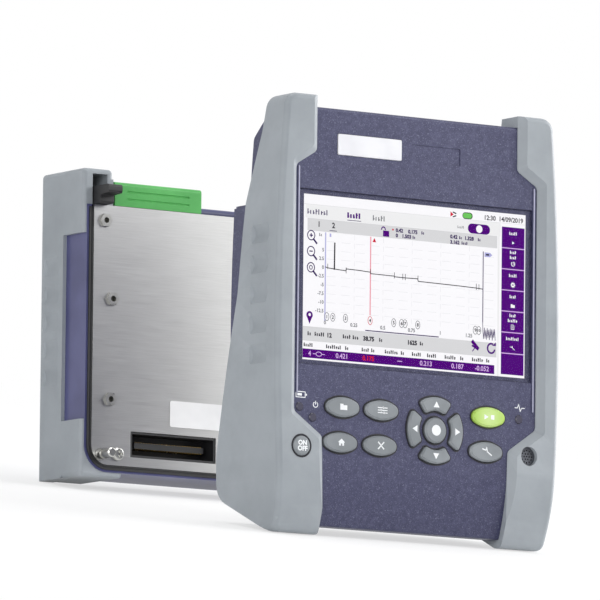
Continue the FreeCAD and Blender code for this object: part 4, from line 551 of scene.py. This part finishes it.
def draw_values(ink):
    """Open lock and the cursor values."""
    lock_x, lock_y = -15.6, 21.5
    ink["violet"].band(lock_x - 0.2, lock_x + 2.8, lock_y - 2.6, lock_y - 0.2)
    ink["violet"].arc(lock_x, lock_y, 2.4, 2.9, 0.5, 0, 180)
    ink["red"].disc(-11.0, 22.0, 0.8)
    figures = ((-9.6, 21.9, "0.42"), (-3.6, 21.8, "0.175"), (-9.6, 19.8, "0"), (-6.6, 19.75, "1.503"),
               (17.0, 21.5, "0.42"), (24.0, 21.4, "1.328"), (17.0, 19.3, "3.162"))
    for x, y, text in figures:
        ink["ink"].write(text, x, y, 1.35, "LEFT", 0.05)
    units = ((2.9, 21.8, 2), (-1.4, 19.7, 2), (21.4, 21.4, 2), (30.6, 21.3, 2), (22.6, 19.3, 4))
    for x, y, letters in units:
        ink["ink"].word(x, y, letters, 1.25, 0.26)


def magnifier(pen, y, mark):
    """A lens and its handle, with a plus, a minus or a ring inside."""
    pen.arc(TOOL_X, y, 3.9, 4.2, 0.42)
    pen.stroke([(TOOL_X + 1.2, y - 1.5), (TOOL_X + 2.6, y - 3.0)], 0.75)
    if mark in "+-":
        pen.band(TOOL_X - 0.8, TOOL_X + 0.8, y - 0.24, y + 0.24)
    if mark == "+":
        pen.band(TOOL_X - 0.24, TOOL_X + 0.24, y - 0.8, y + 0.8)
    if mark == "o":
        pen.arc(TOOL_X, y, 1.7, 1.9, 0.35)


def draw_tools(ink):
    """Zoom tools and the place marker at the left edge."""
    for y, mark in ((16.6, "+"), (10.2, "-"), (3.7, "o")):
        magnifier(ink["ink"], y, mark)
    x, y = TOOL_X - 0.4, -15.4
    ink["violet"].disc(x, y, 3.1)
    ink["violet"].plate([(x - 1.3, y - 0.7), (x + 1.3, y - 0.7), (x, y - 3.6)])
    ink["bright"].disc(x, y + 0.1, 1.2)


def draw_axes(ink):
    """Dashed grid, axes and their plain numbers."""
    for column in range(1, 6):
        x = AXIS_X + column * GRID_X
        for dash in range(10):
            top = AXIS_TOP - dash * GRID_Y
            ink["grid"].band(x - 0.07, x + 0.07, top - GRID_Y * 0.6, top)
    for row in range(-5, 4):
        y = ZERO_Y + row * GRID_Y
        for dash in range(12):
            x = AXIS_X + dash * GRID_X / 2
            ink["grid"].band(x + 0.6, x + GRID_X * 0.36, y - 0.06, y + 0.06)
    ink["lilac"].band(AXIS_X - 0.28, AXIS_X + 0.28, AXIS_LOW, AXIS_TOP)
    for row in range(-5, 3):
        label = "%g" % (row * LEVEL_STEP)
        ink["soft"].write(label, AXIS_X - 0.7, ZERO_Y + row * GRID_Y, 1.3, "RIGHT")
    for column in range(6):
        label = "%g" % (column * DISTANCE_STEP)
        ink["soft"].write(label, AXIS_X + column * GRID_X, AXIS_LOW - 0.6, 1.35, "CENTER")
    ink["soft"].word(-46.6, 17.2, 2, 1.3, 0.2)
    ink["lilac"].band(-41.6, -40.8, 16.6, 18.0)


def trace_points():
    """The measured line: gentle falls with small steps at its events."""
    return [(AXIS_X, 4.4), (-42.3, 4.1), (-39.5, 3.9), (-39.4, 3.9), (-33.7, 3.6), (-33.3, 4.4),
            (-27.0, 4.25), (-21.9, 4.0), (-21.6, 3.4), (-10.2, 3.3), (-9.9, 3.05), (-5.0, 3.0),
            (1.2, 3.1), (1.6, 2.1), (12.0, 1.95), (22.0, 1.8), (30.0, 1.6), (33.0, 1.4)]


def noise_points():
    """The restless line after the fibre's end."""
    points = [(END_X, -12.0)]
    for k in range(18):
        swing = (1.1 + 1.2 * abs(math.sin(2.3 * k))) * (-1) ** k
        points.append((END_X + 0.1 + 0.36 * k, EVENT_Y - 1.1 + swing))
    return points


def draw_trace(ink):
    """The trace with its reflections, the noise after the fibre's end and the two cursors."""
    pen = ink["text"]
    pen.stroke(trace_points(), 0.34)
    pen.stroke([(-39.2, 3.9), (-39.1, 14.2)], 0.62)
    ticks = ((-42.4, 3.6, 5.8), (-33.5, 2.6, 5.0), (CURSOR_X, 3.4, 5.2), (-10.1, 2.4, 4.8), (-6.0, 2.2, 4.6),
             (-4.8, 2.1, 4.6), (1.4, 2.1, 4.4), (30.0, 0.9, 3.4), (31.3, 1.0, 3.2))
    for x, low, high in ticks:
        pen.band(x - 0.13, x + 0.13, low, high)
    ink["ink"].band(END_X - 0.2, END_X + 0.2, -12.0, 16.7)
    ink["ink"].stroke(noise_points(), 0.26)
    ink["lilac"].plate([(34.0, 14.6), (36.6, 14.6), (37.8, 15.5), (36.6, 16.4), (34.0, 16.4)])
    pen.band(34.6, 36.2, 15.2, 15.8)
    ink["rose"].band(CURSOR_X - 0.26, CURSOR_X + 0.26, -13.4, AXIS_TOP)
    ink["red"].plate([(-20.9, 16.2), (-19.1, 16.2), (-20.0, 17.9)])
    ink["ink"].band(-24.0, 11.8, PLOT_LOW + 0.2, PLOT_LOW + 0.6)


def draw_events(ink):
    """Numbered rings under the trace, the chosen one red."""
    places = (-42.6, -39.7, -33.6, CURSOR_X, -10.2, -6.4, -4.7, 1.5, 29.7, 31.4)
    for number, x in enumerate(places, 1):
        ring = ink["red" if x == CURSOR_X else "soft"]
        ring.arc(x, EVENT_Y, 2.3, 3.5, 0.24)
        ink["text"].write(str(number), x, EVENT_Y, 1.3 if number < 10 else 1.0, "CENTER")


def draw_summary(ink):
    """Summary line with its figures, the pin and the refresh mark."""
    y = -22.9
    for x, letters in ((-51.8, 2), (-48.4, 5), (-34.8, 4), (-30.0, 3)):
        ink["text"].word(x, y + 0.1, letters, 1.6, 0.32)
    for x, text in ((-42.6, "12"), (-25.0, "38.75"), (-3.6, "1625")):
        ink["text"].write(text, x, y, 1.6, "LEFT", 0.06)
    for x, letters in ((-17.2, 2), (2.6, 2)):
        ink["text"].word(x, y, letters, 1.5, 0.3)
    pen = ink["violet"]
    pen.stroke([(28.6, -20.4), (30.8, -22.6)], 1.5)
    pen.stroke([(28.4, -21.9), (31.0, -23.2)], 0.7)
    pen.stroke([(29.7, -22.4), (28.5, -24.0)], 0.4)
    pen.arc(37.6, -22.3, 4.3, 4.6, 0.75, 60, 350)
    pen.plate([(38.0, -21.2), (39.9, -21.2), (39.9, -19.7)])


def draw_table(ink):
    """Headings of the table and the chosen event's row."""
    headings = ((-53.6, 5), (-42.8, 8), (-33.6, 2), (-25.6, 4), (-21.0, 2), (-14.4, 7), (-6.6, 2),
                (-1.2, 5), (6.2, 5), (14.8, 6), (22.4, 2), (28.2, 6), (35.2, 2))
    for x, letters in headings:
        ink["text"].word(x, -27.4, letters, 1.5, 0.3)
    y, pen = (HEADER_LOW + ROW_LOW) / 2, ink["pale"]
    pen.write("4", -51.4, y, 1.8)
    pen.arc(-46.3, y, 3.0, 2.0, 0.3)
    pen.stroke([(-49.0, y), (-47.8, y)], 0.3)
    pen.stroke([(-44.8, y), (-43.6, y)], 0.3)
    for x, text in ((-38.2, "0.421"), (2.6, "0.213"), (18.0, "0.187"), (29.6, "-0.052")):
        pen.write(text, x, y, 1.8)
    ink["red"].write("0.175", -25.2, y, 1.7, "LEFT", 0.05)
    pen.band(-8.4, -6.0, y - 0.15, y + 0.15)


# Each icon is drawn round a point (x, y) at a scale s: most reach about s millimetres to a side.
def icon_play(pen, x, y, s):
    pen.plate([(x - 0.5 * s, y - 0.6 * s), (x + 0.6 * s, y), (x - 0.5 * s, y + 0.6 * s)])


def icon_clock(pen, x, y, s):
    pen.arc(x, y, 2.0 * s, 2.0 * s, 0.3 * s, 120, 440)
    pen.stroke([(x, y), (x, y + 0.6 * s)], 0.22 * s)
    pen.stroke([(x, y), (x + 0.45 * s, y)], 0.22 * s)


def icon_gear(pen, x, y, s):
    pen.arc(x, y, 1.7 * s, 1.7 * s, 0.5 * s)
    for tooth in range(8):
        turn = math.pi * tooth / 4
        dx, dy = s * math.cos(turn), s * math.sin(turn)
        pen.stroke([(x + 0.75 * dx, y + 0.75 * dy), (x + 0.98 * dx, y + 0.98 * dy)], 0.34 * s)


def icon_folder(pen, x, y, s):
    pen.band(x - s, x + s, y - 0.7 * s, y + 0.45 * s)
    pen.band(x - s, x - 0.1 * s, y + 0.45 * s, y + 0.75 * s)


def icon_page(pen, x, y, s):
    pen.stroke([(x - 0.7 * s, y - 0.9 * s), (x + 0.7 * s, y - 0.9 * s), (x + 0.7 * s, y + 0.5 * s),
                (x + 0.3 * s, y + 0.9 * s), (x - 0.7 * s, y + 0.9 * s), (x - 0.7 * s, y - 0.9 * s)], 0.2 * s)
    for k in (-0.4, 0.0, 0.4):
        pen.band(x - 0.35 * s, x + 0.35 * s, y + (k - 0.08) * s, y + (k + 0.08) * s)


def icon_graph(pen, x, y, s):
    pen.stroke([(x - s, y + 0.5 * s), (x - 0.3 * s, y + 0.3 * s), (x - 0.1 * s, y + 0.8 * s),
                (x + 0.1 * s, y), (x + s, y - 0.6 * s)], 0.24 * s)


# Letters in the first and second word of each soft key, where it has them, and its icon.
SOFT_KEYS = ((5, 0, icon_play), (4, 4, icon_clock), (5, 0, icon_gear), (4, 0, icon_folder),
             (4, 6, icon_page), (8, 0, icon_graph))
SOFT_WORD = 1.3                  # height of those words


def draw_softkeys(ink):
    """The column of soft keys, six with words and an icon and the last one bare."""
    pitch = (SOFT_TOP - SOFT_LOW) / SOFT_COUNT
    middle = (SOFT_LEFT + SOFT_RIGHT) / 2
    ink["violet"].band(SOFT_LEFT, SOFT_RIGHT, SOFT_LOW, SOFT_TOP)
    for k in range(1, SOFT_COUNT):
        y = SOFT_TOP - k * pitch
        ink["pale"].band(SOFT_LEFT, SOFT_RIGHT, y - 0.2, y + 0.2)
    pen = ink["bright"]
    for k, (first, second, icon) in enumerate(SOFT_KEYS):
        top = SOFT_TOP - k * pitch
        rows = ((first, 1.6), (second, 3.7)) if second else ((first, 2.5),)
        for letters, drop in rows:
            pen.word(middle - letters * SOFT_WORD * 0.3, top - drop, letters, SOFT_WORD, 0.24)
        icon(pen, middle, top - 6.3, 1.0)


def draw_screen():
    """The whole picture, one piece for each colour."""
    draw_border()
    ink = screen_inks()
    for draw in (draw_bars, draw_status, draw_tabs, draw_values, draw_tools, draw_axes, draw_trace,
                 draw_events, draw_summary, draw_table, draw_softkeys):
        draw(ink)
    for pen in ink.values():
        pen.finish("screen")


# ---- legends on the keys and the panel -----------------------------------------------------
def icon_sliders(pen, x, y, s):
    for k, knob in ((-0.6, 0.4), (0.0, -0.4), (0.6, 0.2)):
        pen.band(x - 1.4 * s, x + 1.4 * s, y + (k - 0.1) * s, y + (k + 0.1) * s)
        pen.disc(x + knob * s, y + k * s, 0.56 * s)


def icon_house(pen, x, y, s):
    pen.plate([(x - s, y), (x + s, y), (x, y + 0.9 * s)])
    pen.band(x - 0.7 * s, x - 0.2 * s, y - 0.8 * s, y)
    pen.band(x + 0.2 * s, x + 0.7 * s, y - 0.8 * s, y)
    pen.band(x - 0.2 * s, x + 0.2 * s, y - 0.3 * s, y)


def icon_cross(pen, x, y, s):
    pen.stroke([(x - 0.7 * s, y - 0.7 * s), (x + 0.7 * s, y + 0.7 * s)], 0.3 * s)
    pen.stroke([(x - 0.7 * s, y + 0.7 * s), (x + 0.7 * s, y - 0.7 * s)], 0.3 * s)


def icon_start(pen, x, y, s):
    icon_play(pen, x - 0.9 * s, y, s)
    pen.band(x + 0.4 * s, x + 1.3 * s, y - 0.5 * s, y + 0.5 * s)


def icon_arrow(turn):
    """An icon of a triangle that points at an angle from the right."""
    across, along = math.sin(turn), math.cos(turn)

    def draw(pen, x, y, s):
        points = [(1.0, 0.0), (-0.6, 0.95), (-0.6, -0.95)]
        pen.plate([(x + s * (a * along - b * across), y + s * (a * across + b * along)) for a, b in points])
    return draw


def icon_dot(pen, x, y, s):
    pen.disc(x, y, 2 * s)


def icon_on_off(pen, x, y, s):
    pen.write("ON", x, y + 0.75 * s, 1.15 * s, "CENTER", 0.05)
    pen.write("OFF", x, y - 0.75 * s, 1.15 * s, "CENTER", 0.05)


MARK_GROW = 1.12                 # all marks on the keys together
KEY_MARKS = {
    "key_file": (icon_folder, 1.5), "key_setup": (icon_sliders, 1.5), "key_home": (icon_house, 1.5),
    "key_cancel": (icon_cross, 1.6), "key_start": (icon_start, 1.6), "key_results": (icon_graph, 1.9),
    "key_power": (icon_on_off, 1.35), "key_enter": (icon_dot, 1.95),
    "key_right": (icon_arrow(0), 1.35), "key_up": (icon_arrow(math.pi / 2), 1.35),
    "key_left": (icon_arrow(math.pi), 1.35), "key_down": (icon_arrow(-math.pi / 2), 1.35),
}


def draw_key_marks():
    """A printed mark on each key, which rides on that key."""
    for node, (icon, size) in KEY_MARKS.items():
        pen = Ink(node + "_mark", node, MATERIALS["mark_white"], middle_of(node))
        icon(pen, 0.0, 0.0, size * MARK_GROW)
        pen.finish("white_plate")


def draw_lamp_marks():
    """Small printed marks beside the three lamps: a battery, a power sign and a pulse."""
    pen = Ink("lamp_marks", "mainframe", MATERIALS["mark_white"], PANEL)
    line = 0.34
    pen.stroke([(-57.6, -48.7), (-53.2, -48.7), (-53.2, -46.5), (-57.6, -46.5), (-57.6, -48.7)], line)
    pen.band(-57.0, -54.8, -48.1, -47.1)
    pen.band(-52.9, -52.4, -48.0, -47.2)
    pen.arc(-48.2, -51.2, 2.5, 2.5, line, 120, 420)
    pen.band(-48.38, -48.02, -51.2, -49.7)
    pen.stroke([(49.0, -45.6), (50.1, -45.6), (50.7, -44.2), (51.5, -46.9), (52.2, -45.6),
                (53.6, -45.6)], line)
    pen.finish("white_plate")


draw_screen()
draw_key_marks()
draw_lamp_marks()


# ---- light, floor and camera ---------------------------------------------------------------
def area_light(name, place, aim, size, power):
    """A rectangular lamp that looks at a point."""
    data = bpy.data.lights.new(name, "AREA")
    data.shape = "RECTANGLE"
    data.size, data.size_y = size
    data.energy = power
    lamp = bpy.data.objects.new(name, data)
    lamp.location = place
    lamp.rotation_euler = (Vector(aim) - Vector(place)).to_track_quat("-Z", "Y").to_euler()
    bpy.context.scene.collection.objects.link(lamp)


area_light("key_light", (1.2, -0.7, 0.9), (0, 0, 0.09), (0.6, 0.6), 10.5)
area_light("edge_light", (1.5, -0.15, 0.4), (0, 0, 0.09), (0.5, 0.5), 16.0)
area_light("fill_light", (-1.3, -1.0, 0.5), (0, 0, 0.09), (1.0, 1.0), 10.0)
area_light("top_light", (0.0, 0.3, 1.5), (0, 0, 0.1), (1.0, 0.6), 9.0)


def white_rays(tree):
    """1 for the rays that see the white studio: from the camera, off metal and through glass."""
    path = tree.nodes.new("ShaderNodeLightPath")
    total = path.outputs["Is Camera Ray"]
    for name in ("Is Glossy Ray", "Is Transmission Ray"):
        either = tree.nodes.new("ShaderNodeMath")
        either.operation = "MAXIMUM"
        tree.links.new(total, either.inputs[0])
        tree.links.new(path.outputs[name], either.inputs[1])
        total = either.outputs["Value"]
    return total


SKY_TONE, SKY_STRENGTH = (0.86, 0.87, 0.9), 0.42     # light that the studio itself gives


def white_world():
    """A soft pale sky that is seen as plain white."""
    world = bpy.data.worlds.new("studio")
    world.use_nodes = True
    tree = world.node_tree
    ground = tree.nodes["Background"]
    ground.inputs["Color"].default_value = (*SKY_TONE, 1)
    ground.inputs["Strength"].default_value = SKY_STRENGTH
    seen = tree.nodes.new("ShaderNodeBackground")
    seen.inputs["Color"].default_value = (1, 1, 1, 1)
    seen.inputs["Strength"].default_value = 1.0
    mix = tree.nodes.new("ShaderNodeMixShader")
    tree.links.new(white_rays(tree), mix.inputs["Fac"])
    tree.links.new(ground.outputs["Background"], mix.inputs[1])
    tree.links.new(seen.outputs["Background"], mix.inputs[2])
    tree.links.new(mix.outputs["Shader"], tree.nodes["World Output"].inputs["Surface"])
    bpy.context.scene.world = world


white_world()

FLOOR_HALF = 3.0                 # metres
FLOOR_NEAR, FLOOR_FAR = 0.12, 0.75      # the floor fades to white between these distances
FLOOR_GLOW = 0.6                 # share of white in the floor at the object's feet


def pale_floor():
    """Pale floor that keeps the object's shadow and fades to the white studio further out."""
    mesh = bpy.data.meshes.new("floor")
    half = FLOOR_HALF
    corners = [(-half, -half, 0), (half, -half, 0), (half, half, 0), (-half, half, 0)]
    mesh.from_pydata(corners, [], [(0, 1, 2, 3)])
    floor = bpy.data.objects.new("floor", mesh)
    bpy.context.scene.collection.objects.link(floor)
    n = Nodes("floor_pale")
    tones = [(0.4, (0.93, 0.93, 0.93)), (0.6, (0.95, 0.95, 0.95))]
    dress(floor, n.finish(n.ramp(n.noise(3.0, 2.0), tones), 0.7))
    glow = n.add("ShaderNodeEmission", Strength=1.0)
    glow.inputs["Color"].default_value = (1, 1, 1, 1)
    away = n.add("ShaderNodeVectorMath", operation="LENGTH")
    n.link(n.add("ShaderNodeTexCoord").outputs["Object"], away.inputs[0])
    fade = n.add("ShaderNodeMapRange")
    fade.inputs["From Min"].default_value = FLOOR_NEAR
    fade.inputs["From Max"].default_value = FLOOR_FAR
    fade.inputs["To Min"].default_value = FLOOR_GLOW
    n.link(away.outputs["Value"], fade.inputs["Value"])
    share = n.add("ShaderNodeMath", operation="MULTIPLY")
    n.link(fade.outputs["Result"], share.inputs[0])
    n.link(white_rays(n.tree), share.inputs[1])
    mix = n.add("ShaderNodeMixShader")
    n.link(share.outputs["Value"], mix.inputs["Fac"])
    n.link(n.shader.outputs["BSDF"], mix.inputs[1])
    n.link(glow.outputs["Emission"], mix.inputs[2])
    n.link(mix.outputs["Shader"], n.tree.nodes["Material Output"].inputs["Surface"])


pale_floor()

# The camera looks at the display from its left, a little below the way that the display faces, and
# has the display right of and above the middle of the picture.
CAMERA_TURN = -34.05             # degrees round the instrument's up way
CAMERA_RISE = -6.92              # degrees above the way that the display faces
CAMERA_ROLL = 0.6                # degrees round the line of sight
CAMERA_AWAY = 4000.0             # millimetres from the display
FIELD = 240.48                   # width of what the picture spans at the display, in millimetres
DISPLAY_RIGHT = 46.49            # millimetres from the middle of the picture to the display's
DISPLAY_ABOVE = 5.57
SENSOR = 36.0                    # width of the camera's own frame, in its millimetres


def make_camera():
    """A long lens from far away, so that the view has next to no perspective."""
    turn, rise, roll = (math.radians(a) for a in (CAMERA_TURN, CAMERA_RISE, CAMERA_ROLL))
    facing = RIGHT * math.sin(turn) + FRONT * math.cos(turn)
    back = facing * math.cos(rise) + UP * math.sin(rise)
    level = RIGHT * math.cos(turn) - FRONT * math.sin(turn)
    right = level * math.cos(roll) + back.cross(level) * math.sin(roll)
    up = back.cross(right)
    data = bpy.data.cameras.new("camera")
    data.sensor_width = SENSOR
    data.lens = SENSOR * CAMERA_AWAY / FIELD
    data.clip_end = 20.0
    camera = bpy.data.objects.new("camera", data)
    place = WINDOW + (back * CAMERA_AWAY - right * DISPLAY_RIGHT - up * DISPLAY_ABOVE) * MM
    camera.matrix_world = Matrix.Translation(place) @ Matrix((right, up, back)).transposed().to_4x4()
    bpy.context.scene.collection.objects.link(camera)
    bpy.context.scene.camera = camera


make_camera()
bpy.context.scene.view_settings.view_transform = "Standard"
